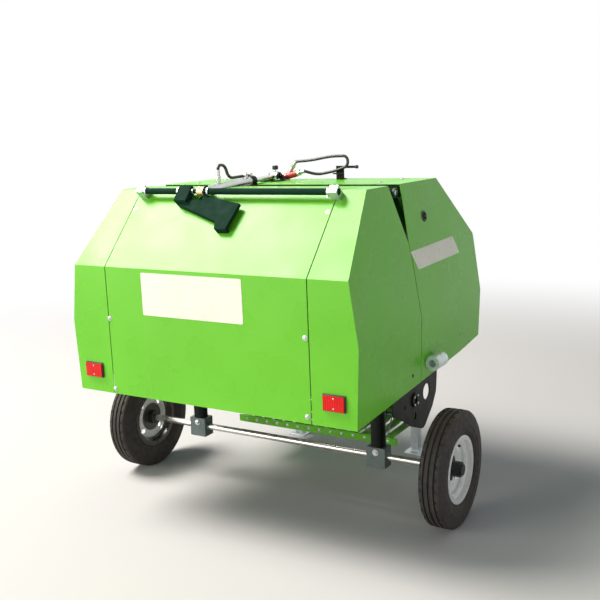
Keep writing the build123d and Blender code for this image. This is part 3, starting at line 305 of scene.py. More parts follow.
def plate(corners, along, round_off):
    """A foil's shape from its corner points, with rounded corners, thickened along a direction."""
    shape = bmesh.new()
    ring = [shape.verts.new(corner) for corner in corners]
    shape.faces.new(ring)
    bmesh.ops.bevel(
        shape, geom=ring, offset=round_off, offset_type="OFFSET", segments=3, profile=0.5,
        affect="VERTICES", material=-1,
    )
    grown = bmesh.ops.extrude_face_region(shape, geom=shape.faces[:], use_keep_orig=True)
    risen = [item for item in grown["geom"] if isinstance(item, bmesh.types.BMVert)]
    bmesh.ops.translate(shape, verts=risen, vec=Vector(along) * FOIL)
    bmesh.ops.recalc_face_normals(shape, faces=shape.faces)
    return shape


def cover_half(z):
    """How far the covers stand out at a height."""
    for (low, wide), (high, narrow) in zip(COVER_SECTION, COVER_SECTION[1:]):
        if z <= high:
            return wide + (narrow - wide) * (z - low) / (high - low)
    return TOP_HALF


foil = finish(
    "blank_foil", (0.80, 0.79, 0.65), 0.30, spread=0.05, cloud=9.0, grain=300.0, relief=0.00005,
    rubbed=(0.45, 0.42, 0.33), rub=0.003,
)
rear_foil = plate([(x, REAR_FACE, z) for x, z in REAR_FOIL], -FRONT, REAR_CORNER)
make("rear_blank_plate", rear_foil, foil, "tailgate")
for side, sign in SIDES:
    side_foil = plate([(0, REAR_FACE + y, z) for y, z in SIDE_FOIL], RIGHT * sign, SIDE_CORNER)
    bmesh.ops.bisect_plane(
        side_foil, geom=side_foil.verts[:] + side_foil.edges[:] + side_foil.faces[:],
        plane_co=(0, 0, FOLD_Z), plane_no=UP,
    )
    for vert in side_foil.verts:
        vert.co.x += sign * cover_half(vert.co.z)
    make(f"side_blank_plate_{side}", side_foil, foil, "frame")

# Cover bolts
# Zinc-plated dome heads on washers, which hold the middle sheet to the corner sheets and the
# hood to its side sheets. A blackened one sits low on each side of the tailgate.
MM = 0.001


def spin_round(shape, axis, steps):
    """Turns an open or closed line round an axis, merges its seam and points its faces outwards."""
    bmesh.ops.spin(
        shape, geom=shape.verts[:] + shape.edges[:], cent=(0, 0, 0), axis=axis, angle=2 * pi,
        steps=steps, use_merge=True,
    )
    bmesh.ops.remove_doubles(shape, verts=shape.verts, dist=1e-6)
    bmesh.ops.recalc_face_normals(shape, faces=shape.faces)


def lathe(rings, sides=16):
    """A form turned about Z from (height, radius) pairs in mm, kept as a mesh to stamp."""
    shape = bmesh.new()
    line = [shape.verts.new((radius * MM, 0, height * MM)) for height, radius in rings]
    for pair in zip(line, line[1:]):
        shape.edges.new(pair)
    spin_round(shape, UP, sides)
    return as_mesh("form", shape)


def press(shape, form, place):
    """Adds a copy of a small form to a piece, set by a matrix."""
    copy = form.copy()
    copy.transform(place)
    shape.from_mesh(copy)
    bpy.data.meshes.remove(copy)


def stamp(shape, form, at, along=UP, scale=1.0, twist=0.0):
    """Adds a copy of a small form to a piece, at a place and along a direction."""
    place = Matrix.Translation(at) @ Vector(along).to_track_quat("Z", "Y").to_matrix().to_4x4()
    press(shape, form, place @ Matrix.Rotation(twist, 4, "Z") @ Matrix.Scale(scale, 4))


zinc = finish(
    "zinc_plate", (0.55, 0.56, 0.55), 0.32, metal=0.9, spread=0.12, cloud=60.0, grain=500.0,
    rubbed=(0.75, 0.75, 0.74), rub=0.0006, dust=0.1,
)
black_bolt = finish(
    "blackened_bolt", (0.012, 0.012, 0.013), 0.45, spread=0.15, cloud=60.0, grain=500.0,
    rubbed=(0.2, 0.2, 0.2), rub=0.0006,
)
DOME = lathe([(0, 0), (0, 10), (1.4, 10), (1.6, 7.2), (3.4, 6.8), (5.2, 4.6), (5.8, 0)])
SLOPE_RUN, SEAM_X = 0.247, 0.436
SLOPE = atan2(TOP_Z - FOLD_Z, SLOPE_RUN)
SLOPE_OUT = Vector((0, -sin(SLOPE), cos(SLOPE)))
REAR_BOLTS = ((-0.445, 0.822), (-0.443, 0.540), (0.436, 0.823), (0.434, 0.545))
SLOPE_BOLTS = ((SEAM_X, 0.183, 1.2285), (-SEAM_X, 0.183, 1.2285), (0.416, 0.228, 1.2788))
HOOD_BOLTS = (0.60, 0.80)
SIDE_BOLT_Y, SIDE_BOLT_Z = 0.444, 0.596
cover_bolts = bmesh.new()
for x, z in REAR_BOLTS:
    stamp(cover_bolts, DOME, (x, REAR_FACE, z), -FRONT)
for x, y, z in SLOPE_BOLTS:
    stamp(cover_bolts, DOME, (x, REAR_FACE + y, z), SLOPE_OUT, 0.8)
make("tail_cover_bolts", cover_bolts, zinc, "tailgate")
hood_bolts, side_bolts = bmesh.new(), bmesh.new()
for _, sign in SIDES:
    for y in HOOD_BOLTS:
        stamp(hood_bolts, DOME, (sign * SEAM_X, REAR_FACE + y, TOP_Z))
    at = (sign * cover_half(SIDE_BOLT_Z), REAR_FACE + SIDE_BOLT_Y, SIDE_BOLT_Z)
    stamp(side_bolts, DOME, at, (sign, 0, -0.05), 0.7)
make("front_hood_bolts", hood_bolts, zinc, "frame")
make("tail_side_bolts", side_bolts, black_bolt, "tailgate")

# Grip plugs
# Black rubber plugs with a finger pull, turned about their middle line and pushed into the round
# holes of the front side covers.
rubber = finish(
    "black_rubber", (0.018, 0.019, 0.020), 0.55, spread=0.15, cloud=20.0, grain=200.0, relief=0.0004,
)
PLUG = lathe(
    [(-10, 0), (-10, 15.5), (0, 16), (0.2, 21.5), (2.2, 21.2), (4.2, 18), (3, 14), (-3.5, 12.5),
     (-3.5, 6), (5, 5.2), (6.2, 0)], 28
)
GRIP_Y, GRIP_Z = 0.676, 1.166
UPPER_TILT = atan2(FOLD_HALF - TOP_HALF, TOP_Z - FOLD_Z)
for side, sign in SIDES:
    plug = bmesh.new()
    outwards = (sign * cos(UPPER_TILT), 0, sin(UPPER_TILT))
    stamp(plug, PLUG, (sign * cover_half(GRIP_Z), REAR_FACE + GRIP_Y, GRIP_Z), outwards)
    make(f"grip_plug_{side}", plug, rubber, "frame")

# Tail lamps
# A red lens with moulded ribs in a shallow black tray, held by two screws to each rear corner
# sheet.
lens = finish(
    "red_lens", (0.68, 0.012, 0.010), 0.22, spread=0.10, cloud=30.0, grain=400.0, relief=0.0001,
    shine=0.2,
)
moulded = finish(
    "black_moulding", (0.02, 0.02, 0.021), 0.45, spread=0.1, cloud=30.0, grain=500.0, dust=0.1,
)
LENS_RIBS, LENS_INSET, LENS_OUT, RIB_SWELL = 9, 0.004, 0.0008, 0.0006
TRAY_SHARE, TRAY_ROUND, LENS_BACK = 0.55, 0.0022, 0.0016
SCREW_IN, SCREW_BACK = 0.012, 0.0026


def block(shape, low, high, round_off=0.0):
    """Adds a rectangular block between two corners, and gives back its vertices."""
    low, high = Vector(low), Vector(high)
    made = bmesh.ops.create_cube(shape, size=1.0)["verts"]
    bmesh.ops.scale(shape, verts=made, vec=high - low)
    bmesh.ops.translate(shape, verts=made, vec=(low + high) / 2)
    if round_off:
        edges = list({edge for vert in made for edge in vert.link_edges})
        made = bmesh.ops.bevel(
            shape, geom=edges, offset=round_off, segments=2, profile=0.5, affect="EDGES", material=-1,
        )["verts"]
    return made


for side, _ in SIDES:
    low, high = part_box(f"tail_lamp_{side}")
    middle, depth = (low + high) / 2, high.y - low.y
    tray = bmesh.new()
    block(tray, (low.x, high.y - depth * TRAY_SHARE, low.z), high, TRAY_ROUND)
    make(f"tail_lamp_tray_{side}", tray, moulded, "tailgate")
    glass = bmesh.new()
    bmesh.ops.create_grid(glass, x_segments=LENS_RIBS * 4, y_segments=1, size=0.5)
    bmesh.ops.rotate(glass, verts=glass.verts, matrix=Matrix.Rotation(pi / 2, 3, "X"))
    wide, tall = high.x - low.x - 2 * LENS_INSET, high.z - low.z - 2 * LENS_INSET
    bmesh.ops.scale(glass, verts=glass.verts, vec=(wide, 1, tall))
    for vert in glass.verts:
        vert.co.y = RIB_SWELL * cos(2 * pi * LENS_RIBS * vert.co.x / wide) - LENS_OUT
    rim_edges = [edge for edge in glass.edges if edge.is_boundary]
    for item in bmesh.ops.extrude_edge_only(glass, edges=rim_edges)["geom"]:
        if isinstance(item, bmesh.types.BMVert):
            item.co.y = depth / 2
    bmesh.ops.translate(glass, verts=glass.verts, vec=(middle.x, low.y + LENS_BACK, middle.z))
    bmesh.ops.recalc_face_normals(glass, faces=glass.faces)
    lens_piece = make(f"tail_lamp_lens_{side}", glass, lens, "tailgate")
    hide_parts(f"tail_lamp_{side}")
    screws = bmesh.new()
    for z in (low.z + SCREW_IN, high.z - SCREW_IN):
        stamp(screws, DOME, (middle.x, low.y + SCREW_BACK, z), -FRONT, 0.45)
    make(f"tail_lamp_screws_{side}", screws, zinc, "tailgate")

# Bale chamber
# Plates, beams and hinge in a dark green satin coat, with ribbed steel drums that turn in
# flanged bearings bolted to the plates.
frame_paint = finish(
    "frame_paint", (0.022, 0.075, 0.040), 0.42, spread=0.12, cloud=4.0, grain=180.0,
    rubbed=(0.22, 0.22, 0.20), dust=0.16,
)
chamber_steel = finish(
    "chamber_steel", (0.16, 0.17, 0.17), 0.45, metal=0.6, spread=0.22, cloud=9.0, grain=120.0,
    relief=0.0004, rubbed=(0.55, 0.55, 0.54), dust=0.12,
)
ROLLERS = ["front_roller_1", "front_roller_2", "front_roller_3", "floor_roller"]
ROLLERS += [f"tail_roller_{number}" for number in range(1, 6)]
for side, _ in SIDES:
    dress(
        frame_paint, f"tail_plate_{side}", f"chamber_plate_{side}", f"tail_hinge_arm_{side}",
        f"hinge_lug_{side}",
    )
dress(chamber_steel, *ROLLERS)
HEX = lathe([(0, 0), (0, 7.5), (5, 7.5), (6, 6.4), (6, 0)], 6)
WASHER, HEAD_RISE = lathe([(0, 0), (0, 11), (1.6, 11), (1.6, 0)], 24), 0.0014


def hex_bolt(shape, at, along, scale=1.0, twist=0.0):
    """A hexagon head on a flat washer."""
    stamp(shape, WASHER, at, along, scale)
    stamp(shape, HEX, Vector(at) + Vector(along) * HEAD_RISE * scale, along, scale, twist)


def rod(shape, start, end, radius, sides=16):
    """Adds a closed round bar between two points."""
    run = Vector(end) - Vector(start)
    place = Matrix.Translation((Vector(start) + Vector(end)) / 2)
    place = place @ run.to_track_quat("Z", "Y").to_matrix().to_4x4()
    bmesh.ops.create_cone(
        shape, cap_ends=True, segments=sides, radius1=radius, radius2=radius, depth=run.length,
        matrix=place,
    )


PLANES = {"X": (FRONT, UP), "Y": (RIGHT, UP), "Z": (RIGHT, FRONT)}


def around(axis, count, radius, start=0.0):
    """Evenly spaced places in a ring about an axis, each with its angle."""
    first, second = PLANES[axis]
    for number in range(count):
        angle = start + 2 * pi * number / count
        yield angle, (first * cos(angle) + second * sin(angle)) * radius


RIBS, RIB_HALF, RIB_LOW, RIB_HIGH, RIB_THICK = 10, 0.335, 0.0545, 0.0630, 0.005
PLATE_OUT, FLANGE_THICK = 0.356, 0.0072
FLANGE = lathe([(0, 38.3), (0, 54), (6, 54), (7.2, 52.5), (7.2, 38.3), (0, 38.3)], 32)
FLANGE_BOLTS, FLANGE_RING = 4, 0.0465
flanges = {"tailgate": bmesh.new(), "frame": bmesh.new()}
flange_bolts = {"tailgate": bmesh.new(), "frame": bmesh.new()}
for name in ROLLERS:
    body = "tailgate" if name.startswith("tail") else "frame"
    low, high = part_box(name)
    middle = (low + high) / 2
    ribs = bmesh.new()
    for number in range(RIBS):
        rib = block(ribs, (-RIB_HALF, -RIB_THICK / 2, RIB_LOW), (RIB_HALF, RIB_THICK / 2, RIB_HIGH))
        turned = Matrix.Rotation(2 * pi * number / RIBS, 3, "X")
        bmesh.ops.rotate(ribs, verts=rib, cent=(0, 0, 0), matrix=turned)
    bmesh.ops.translate(ribs, verts=ribs.verts, vec=(0, middle.y, middle.z))
    make(f"{name}_ribs", ribs, chamber_steel, name)
    for _, sign in SIDES:
        out = RIGHT * sign
        centre = Vector((sign * PLATE_OUT, middle.y, middle.z))
        stamp(flanges[body], FLANGE, centre, out)
        for angle, place in around("X", FLANGE_BOLTS, FLANGE_RING, pi / FLANGE_BOLTS):
            hex_bolt(flange_bolts[body], centre + out * FLANGE_THICK + place, out, 0.8, angle)
for body, shape in flanges.items():
    make(f"{body}_bearing_flanges", shape, frame_paint, body)
    make(f"{body}_bearing_bolts", flange_bolts[body], zinc, body)

# Hinge
# The tailgate's arms turn on two steel pins. Each pin's head sits on a washer outside its lug,
# and a split pin through it keeps it there.
HINGE_AT = Vector((0, REAR_FACE + 0.505, 1.268))
CAP_SUNK, SPLIT_IN, SPLIT_UP, SPLIT_DOWN, SPLIT_R = 0.0068, 0.002, 0.014, 0.016, 0.0013
PIN_CAP = lathe([(0, 0), (0, 15), (1.5, 15), (1.5, 11), (7, 11), (8.5, 9.5), (8.5, 0)], 28)
hinge_caps = bmesh.new()
for side, sign in SIDES:
    lug_low, lug_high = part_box(f"hinge_lug_{side}")
    outside = lug_high.x if sign > 0 else lug_low.x
    head = HINGE_AT + RIGHT * outside
    stamp(hinge_caps, PIN_CAP, head - RIGHT * sign * CAP_SUNK, RIGHT * sign)
    split = head - RIGHT * sign * SPLIT_IN
    rod(hinge_caps, split - UP * SPLIT_DOWN, split + UP * SPLIT_UP, SPLIT_R, 8)
make("hinge_pin_heads", hinge_caps, zinc, "frame")

# Lift shaft and lever
# A dark green lever plate welded to a square block on the cross shaft, which turns in two
# galvanised bearings on the slope. Plated rings keep shaft, block and cylinder in place.
lever_paint = finish(
    "lever_paint", (0.006, 0.030, 0.018), 0.75, spread=0.12, cloud=8.0, grain=200.0,
    rubbed=(0.20, 0.22, 0.20), dust=0.02, shine=0.05,
)
galvanised = finish(
    "galvanised_sheet", (0.50, 0.54, 0.56), 0.40, metal=0.75, spread=0.16, cloud=28.0, grain=260.0,
    rubbed=(0.70, 0.72, 0.73), dust=0.12,
)
dress(lever_paint, "lift_lever", "lift_shaft")
dress(galvanised, "lift_bearings")
soften(0.0015, "lift_lever", "lift_bearings")
LIFT_AT = Vector((0, REAR_FACE + 0.205, 1.296))
COLLAR = lathe([(-4, 12.1), (-4, 16), (-3, 16.8), (3, 16.8), (4, 16), (4, 12.1), (-4, 12.1)], 28)
COLLARS = (
    # x and size of each ring on the shaft and on the cylinder's pin
    (-0.226, 1.0), (-0.390, 1.0), (-0.086, 1.0), (0.432, 1.0), (-0.159, 0.67),
)
collars = bmesh.new()
for x, size in COLLARS:
    stamp(collars, COLLAR, LIFT_AT + RIGHT * x, RIGHT, size)
make("lift_collars", collars, zinc, "tailgate")
DROP = lathe([(-1.8, 0), (-1.3, 2.1), (0, 2.9), (1.3, 2.1), (1.8, 0)], 8)
DROP_PITCH = 0.0024
BLOCK_ENDS, PLATE_SIDES = (-0.2203, -0.0907), (-0.2195, -0.1640)
BLOCK_WELD_R, PLATE_RISE, PLATE_WELD = 0.0125, 0.013, (0.020, 0.052)


def weld(shape, start, end, size=1.0):
    """A bead of overlapping drops along an edge."""
    run = Vector(end) - Vector(start)
    count = max(round(run.length / (DROP_PITCH * size)), 2)
    for number in range(count + 1):
        stamp(shape, DROP, Vector(start) + run * (number / count), run, size)


def weld_round(shape, centre, along, radius, size=1.0):
    """A bead of overlapping drops round a bar."""
    lie = Vector(along).to_track_quat("Z", "Y")
    count = round(2 * pi * radius / (DROP_PITCH * size))
    for number in range(count):
        angle = 2 * pi * number / count
        at = Vector(centre) + lie @ Vector((cos(angle), sin(angle), 0)) * radius
        stamp(shape, DROP, at, lie @ Vector((-sin(angle), cos(angle), 0)), size)


lever_welds = bmesh.new()
for x in BLOCK_ENDS:
    weld_round(lever_welds, LIFT_AT + RIGHT * x, RIGHT, BLOCK_WELD_R)
down_slope = Vector((0, -cos(SLOPE), -sin(SLOPE)))
for x in PLATE_SIDES:
    upper = LIFT_AT + SLOPE_OUT * PLATE_RISE + RIGHT * x
    weld(lever_welds, *(upper + down_slope * reach for reach in PLATE_WELD), 0.9)
make("lift_lever_welds", lever_welds, lever_paint, "tailgate")

# Lift cylinder
# A bright steel barrel with a black gland and a chromed rod. Its eye sits on the lever's pin in a
# plated sleeve, and the rod's eye in a bracket of black plate, welded and bolted to the hood.
bright = finish(
    "bright_barrel", (0.66, 0.67, 0.66), 0.28, metal=0.9, spread=0.10, cloud=14.0, grain=400.0,
    rubbed=(0.80, 0.80, 0.80), dust=0.12,
)
chrome = finish(
    "chromed_rod", (0.80, 0.81, 0.82), 0.10, metal=1.0, spread=0.03, cloud=30.0, grain=700.0,
    relief=0.00005,
)
black_paint = finish(
    "black_paint", (0.007, 0.010, 0.008), 0.42, spread=0.15, cloud=5.0, grain=200.0,
    rubbed=(0.16, 0.16, 0.15), dust=0.03, shine=0.12,
)
dress(bright, "cylinder_barrel")
dress(chrome, "cylinder_rod")
dress(black_paint, "cylinder_bracket")
soften(0.0008, "cylinder_bracket")
yellow_zinc = finish(
    "yellow_zinc", (0.62, 0.50, 0.24), 0.34, metal=0.8, spread=0.16, cloud=60.0, grain=400.0,
    rubbed=(0.75, 0.72, 0.62), dust=0.08,
)
CYLINDER_X, ROD_RISE, ROD_REACH = -0.118, 0.026, 0.515
BARREL_PLACE = Matrix.Translation(LIFT_AT + RIGHT * CYLINDER_X)
BARREL_PLACE = BARREL_PLACE @ Matrix.Rotation(atan2(ROD_RISE, ROD_REACH), 4, "X")


def on_barrel(name, shape, material):
    """A piece drawn along the barrel from its pin, set in its place on the cylinder."""
    bmesh.ops.transform(shape, matrix=BARREL_PLACE, verts=shape.verts)
    make(name, shape, material, "cylinder")


GLAND = lathe(
    [(317, 17), (317.2, 19), (328, 19.4), (328.5, 18.8), (333, 18.8), (333.5, 19.4), (350, 19.4),
     (352, 18), (352.5, 10.4), (317, 10.4), (317, 17)], 36
)
GLAND_SCREWS, GLAND_SCREW_Y, GLAND_R = 4, 0.342, 0.0188
gland = bmesh.new()
stamp(gland, GLAND, (0, 0, 0), FRONT)
for _, place in around("Y", GLAND_SCREWS, GLAND_R, pi / GLAND_SCREWS):
    stamp(gland, HEX, place + FRONT * GLAND_SCREW_Y, place, 0.35)
on_barrel("cylinder_gland", gland, black_paint)
SLEEVE = lathe([(-14.9, 17.1), (-14.9, 18.1), (14.9, 18.1), (14.9, 17.1), (-14.9, 17.1)], 32)
NIPPLE = lathe(
    [(0, 0), (0, 3.4), (3, 3.4), (3.2, 2.2), (5.5, 1.6), (7.5, 2.4), (9, 1.8), (9.4, 0)], 12
)
sleeve = bmesh.new()
stamp(sleeve, SLEEVE, (0, 0, 0), RIGHT)
stamp(sleeve, NIPPLE, (0, -0.0126, 0.0128), (0, -0.7, 0.71))
on_barrel("cylinder_eye_sleeve", sleeve, yellow_zinc)
NUT = lathe([(0, 0), (0, 11.3), (0.8, 12.2), (9.2, 12.2), (10, 11.3), (10, 0)], 6)
FERRULE = lathe(
    [(0, 0), (0, 8), (4, 8), (4.5, 7.4), (6, 7.4), (6.5, 8), (12, 8), (12.5, 7.4), (14, 7.4),
     (14.5, 8), (23, 7.8), (24, 6.1), (24, 0)], 20
)
FOOT_PORT, GLAND_PORT = 0.108, 0.296
FITTINGS = (
    # form, place from the barrel's pin, way and size
    (NUT, (0, FOOT_PORT, 0.0350), UP, 1.0),
    (FERRULE, (0, FOOT_PORT, 0.0450), (0, 0.006, 0.0405), 1.0),
    (NUT, (0, GLAND_PORT, 0.0245), UP, 0.9),
    (HEX, (0, GLAND_PORT, 0.0330), UP, 0.9),
    (HEX, (-0.016, 0.3450, 0.022), FRONT, 1.0),
)
fittings = bmesh.new()
for form, at, along, size in FITTINGS:
    stamp(fittings, form, at, along, size)
on_barrel("cylinder_fittings", fittings, zinc)
EYE_WELD_Y, EYE_WELD_R, PORT_WELD_Z, PORT_WELD_R = 0.0265, 0.0170, 0.0180, 0.0095
barrel_welds = bmesh.new()
weld_round(barrel_welds, (0, EYE_WELD_Y, 0), FRONT, EYE_WELD_R, 0.8)
for y in (FOOT_PORT, GLAND_PORT):
    weld_round(barrel_welds, (0, y, PORT_WELD_Z), UP, PORT_WELD_R, 0.7)
on_barrel("cylinder_welds", barrel_welds, bright)
CHEEK_OUT, CHEEK_WELD, CHEEK_WELD_Z = 0.0238, (0.706, 0.731), 1.3065
FOOT_BOLT_OUT, FOOT_BOLTS, FOOT_TOP = 0.034, (0.674, 0.694), 1.306
bracket_welds, bracket_bolts = bmesh.new(), bmesh.new()
for _, sign in SIDES:
    x = CYLINDER_X + sign * CHEEK_OUT
    weld(bracket_welds, *((x, REAR_FACE + y, CHEEK_WELD_Z) for y in CHEEK_WELD), 0.9)
    for y in FOOT_BOLTS:
        at = (CYLINDER_X + sign * FOOT_BOLT_OUT, REAR_FACE + y, FOOT_TOP)
        hex_bolt(bracket_bolts, at, UP, 0.62, y)
make("bracket_welds", bracket_welds, black_paint, "frame")
make("bracket_bolts", bracket_bolts, zinc, "frame")

# Oil lines
# Black rubber hoses crimped into zinc-plated ends, a knobbed valve with its steel pipe, and two
# quick couplings parked on the hood: one in a red sleeve, one of pale ringed steel.
hose_rubber = finish(
    "hose_rubber", (0.010, 0.011, 0.011), 0.26, spread=0.2, cloud=25.0, grain=260.0, relief=0.0003,
    dust=0.06,
)
red_sleeve = finish(
    "red_sleeve", (0.52, 0.020, 0.015), 0.30, spread=0.14, cloud=40.0, grain=300.0,
    rubbed=(0.42, 0.36, 0.33), rub=0.0006,
)
pale_steel = finish(
    "pale_steel", (0.70, 0.68, 0.60), 0.30, metal=0.7, spread=0.12, cloud=50.0, grain=300.0,
    rubbed=(0.82, 0.80, 0.74), rub=0.0006,
)
dress(hose_rubber, "barrel_hose", "loop_hose")
dress(zinc, "oil_couplings")
dress(black_paint, "hose_hook")
soften(0.0008, "hose_hook", "oil_couplings")


def on_hood(x, y, z):
    """A point over the front hood, with y counted from the rear face."""
    return Vector((x, REAR_FACE + y, z))


VALVE_X, VALVE_Y = -0.140, 0.756
VALVE_AT = on_hood(VALVE_X, VALVE_Y, 1.346)
KNOB_RIBS, KNOB_RIB_RING, KNOB_RIB_R, KNOB_RIB_SPAN = 14, 0.0114, 0.0013, (0.0015, 0.0155)
KNOB = lathe([(-0.4, 0), (-0.4, 10.6), (1, 11.6), (16, 11.6), (17.6, 10), (18, 0)], 28)
knob = bmesh.new()
stamp(knob, KNOB, VALVE_AT)
for _, place in around("Z", KNOB_RIBS, KNOB_RIB_RING):
    rod(knob, *(VALVE_AT + place + UP * up for up in KNOB_RIB_SPAN), KNOB_RIB_R, 8)
make("valve_knob", knob, moulded, "frame")
RED_FROM, RED_ALONG = on_hood(-0.016, 0.757, 1.333), Vector((-20, 0, -5)).normalized()
PALE_FROM, PALE_ALONG = on_hood(-0.057, 0.772, 1.362), Vector((-11, 0, -15.5)).normalized()
RED = lathe(
    [(14, 12.1), (14, 12.8), (16, 13.2), (30, 13.2), (31, 14.1), (35, 14.1), (36, 13.2), (62, 13.2),
     (63, 14.1), (68, 14.1), (69, 13.2), (71, 12.1), (14, 12.1)], 28
)
red = bmesh.new()
stamp(red, RED, RED_FROM, RED_ALONG)
make("red_coupling_sleeve", red, red_sleeve, "frame")
PALE_RINGS, PALE_START, PALE_PITCH = 6, 0.020, 0.0065
PALE_RING = lathe([(0, 8.6), (0.4, 9.6), (4.6, 9.6), (5, 8.6), (0, 8.6)], 24)
pale = bmesh.new()
for number in range(PALE_RINGS):
    stamp(pale, PALE_RING, PALE_FROM + PALE_ALONG * (PALE_START + PALE_PITCH * number), PALE_ALONG)
make("pale_coupling_rings", pale, pale_steel, "frame")
ends = bmesh.new()
for start, along, size in ((RED_FROM, RED_ALONG, 1.12), (PALE_FROM, PALE_ALONG, 0.9)):
    stamp(ends, NUT, start, along, size)
    stamp(ends, FERRULE, start + along * 0.001, -along, 1.02)
PIPE_NUTS, PIPE_Z, BLOCK_SCREWS, BLOCK_X, BLOCK_TOP = (-0.125, -0.116), 1.311, (0.746, 0.776), -0.095, 1.322
for x in PIPE_NUTS:
    stamp(ends, NUT, on_hood(x, VALVE_Y, PIPE_Z), RIGHT, 0.62)
for y in BLOCK_SCREWS:
    stamp(ends, HEX, on_hood(BLOCK_X, y, BLOCK_TOP), UP, 0.6)
stamp(ends, NUT, on_hood(VALVE_X, VALVE_Y, 1.3185), UP, 0.7)
make("oil_line_ends", ends, zinc, "frame")
HOOK_BOLTS, HOOK_Y, HOOK_FOOT = (0.143, 0.161), 0.813, 1.304
hook_bolts = bmesh.new()
for x in HOOK_BOLTS:
    hex_bolt(hook_bolts, on_hood(x, HOOK_Y, HOOK_FOOT), UP, 0.6, x)
make("hook_bolts", hook_bolts, zinc, "frame")
HOOK_KNOB = lathe([(0, 4.8), (1, 6.8), (6, 7.8), (11, 6), (13, 0), (0, 0)], 20)
hook_knob = bmesh.new()
stamp(hook_knob, HOOK_KNOB, on_hood(0.226, 0.800, 1.351), RIGHT)
make("hook_knob", hook_knob, moulded, "frame")

# Wheels
# Small ribbed tyres on pressed rims, white outside and darkened inside with painted shade, each on a
# black hub with four bolts.
tyre_rubber = finish(
    "tyre_rubber", (0.026, 0.023, 0.020), 0.78, spread=0.22, cloud=12.0, grain=140.0, relief=0.0006,
    dust=0.5, dust_colour=(0.15, 0.105, 0.07),
)
WHEEL_Y, WHEEL_R, WHEEL_X = REAR_FACE + 0.521, 0.226, 0.747
DISC_BACK = WHEEL_X - 0.0135
# The rims' inner sides, from the disc's back inwards, get a dark colour as painted shade.
rim_paint = finish(
    "rim_paint", (0.90, 0.91, 0.88), 0.30, spread=0.04, cloud=10.0, grain=240.0,
    rubbed=(0.45, 0.42, 0.38), dust=0.08, coat=0.2, inner=(DISC_BACK, (0.050, 0.042, 0.034)),
)
hub_paint = finish(
    "hub_black", (0.014, 0.014, 0.015), 0.40, spread=0.15, cloud=20.0, grain=220.0,
    rubbed=(0.20, 0.19, 0.18), dust=0.10,
)
TYRE_PROFILE = (
    # offset from the wheel's middle and radius: bead, wall with its rings, shoulder, ribs and grooves
    (36, 119), (37, 130), (40, 136), (40.5, 140), (44, 144), (45.5, 153), (46.5, 160), (47, 168),
    (48, 170), (48, 176), (47, 180), (46.4, 190), (44.8, 200), (43.2, 209), (42.5, 216), (39, 222),
    (35, 225), (24, 225.6), (23.2, 220), (18, 220), (17.2, 225.9), (4.5, 226), (3.7, 220), (0, 220),
)
TYRE_STEPS = 96
SIPE_X, SIPE_BAND, SIPE_R, SIPE_EVERY, SIPE_EDGE, SIPE_DEPTH = 0.0295, 0.004, 0.222, 3, 0.0022, 0.0030
for side, sign in SIDES:
    tyre = bmesh.new()
    whole = [*TYRE_PROFILE, *((-x, r) for x, r in reversed(TYRE_PROFILE[:-1]))]
    line = [tyre.verts.new((x * MM, 0, r * MM)) for x, r in whole]
    for pair in zip(line, line[1:] + line[:1]):
        tyre.edges.new(pair)
    spin_round(tyre, RIGHT, TYRE_STEPS)
    shoulder = []
    for face in tyre.faces:
        middle = face.calc_center_median()
        step = round(atan2(middle.z, middle.y) / (2 * pi) * TYRE_STEPS - 0.5)
        on_band = abs(abs(middle.x) - SIPE_X) < SIPE_BAND and hypot(middle.y, middle.z) > SIPE_R
        if on_band and step % SIPE_EVERY == 0:
            shoulder.append(face)
    bmesh.ops.inset_individual(tyre, faces=shoulder, thickness=SIPE_EDGE, depth=-SIPE_DEPTH)
    bmesh.ops.translate(tyre, verts=tyre.verts, vec=(sign * WHEEL_X, WHEEL_Y, WHEEL_R))
    tyre_piece = make(f"tyre_ribbed_{side}", tyre, tyre_rubber, f"wheel_{side}", 40)
    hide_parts(f"tyre_{side}")
    dress(rim_paint, f"rim_{side}")
    dress(hub_paint, f"hub_{side}")

HUB_FACE, HUB_THICK, WHEEL_BOLTS, WHEEL_BOLT_RING = WHEEL_X - 0.011, 0.0065, 4, 0.043
STEM_OUT, STEM_UP = 0.006, 0.1025
HUB_FLANGE = lathe([(-1, 20), (-1, 56), (5, 56), (6.5, 54.5), (6.5, 20)], 36)
VALVE_STEM = lathe(
    [(0, 0), (0, 6.2), (6, 5.2), (8, 4.2), (24, 3.8), (24.5, 4.4), (32, 4.4), (33, 3.6), (33, 0)], 14
)
for side, sign in SIDES:
    out = RIGHT * sign
    hub_face = Vector((sign * HUB_FACE, WHEEL_Y, WHEEL_R))
    flange = bmesh.new()
    stamp(flange, HUB_FLANGE, hub_face, out)
    make(f"hub_flange_{side}", flange, hub_paint, f"wheel_{side}")
    wheel_bolts = bmesh.new()
    for angle, place in around("X", WHEEL_BOLTS, WHEEL_BOLT_RING):
        hex_bolt(wheel_bolts, hub_face + out * HUB_THICK + place, out, 0.95, angle)
    make(f"wheel_bolts_{side}", wheel_bolts, hub_paint, f"wheel_{side}")
    valve = bmesh.new()
    stem_foot = (sign * (WHEEL_X + STEM_OUT), WHEEL_Y, WHEEL_R + STEM_UP)
    stamp(valve, VALVE_STEM, stem_foot, (sign, 0, -0.35))
    make(f"tyre_valve_{side}", valve, rubber, f"wheel_{side}")
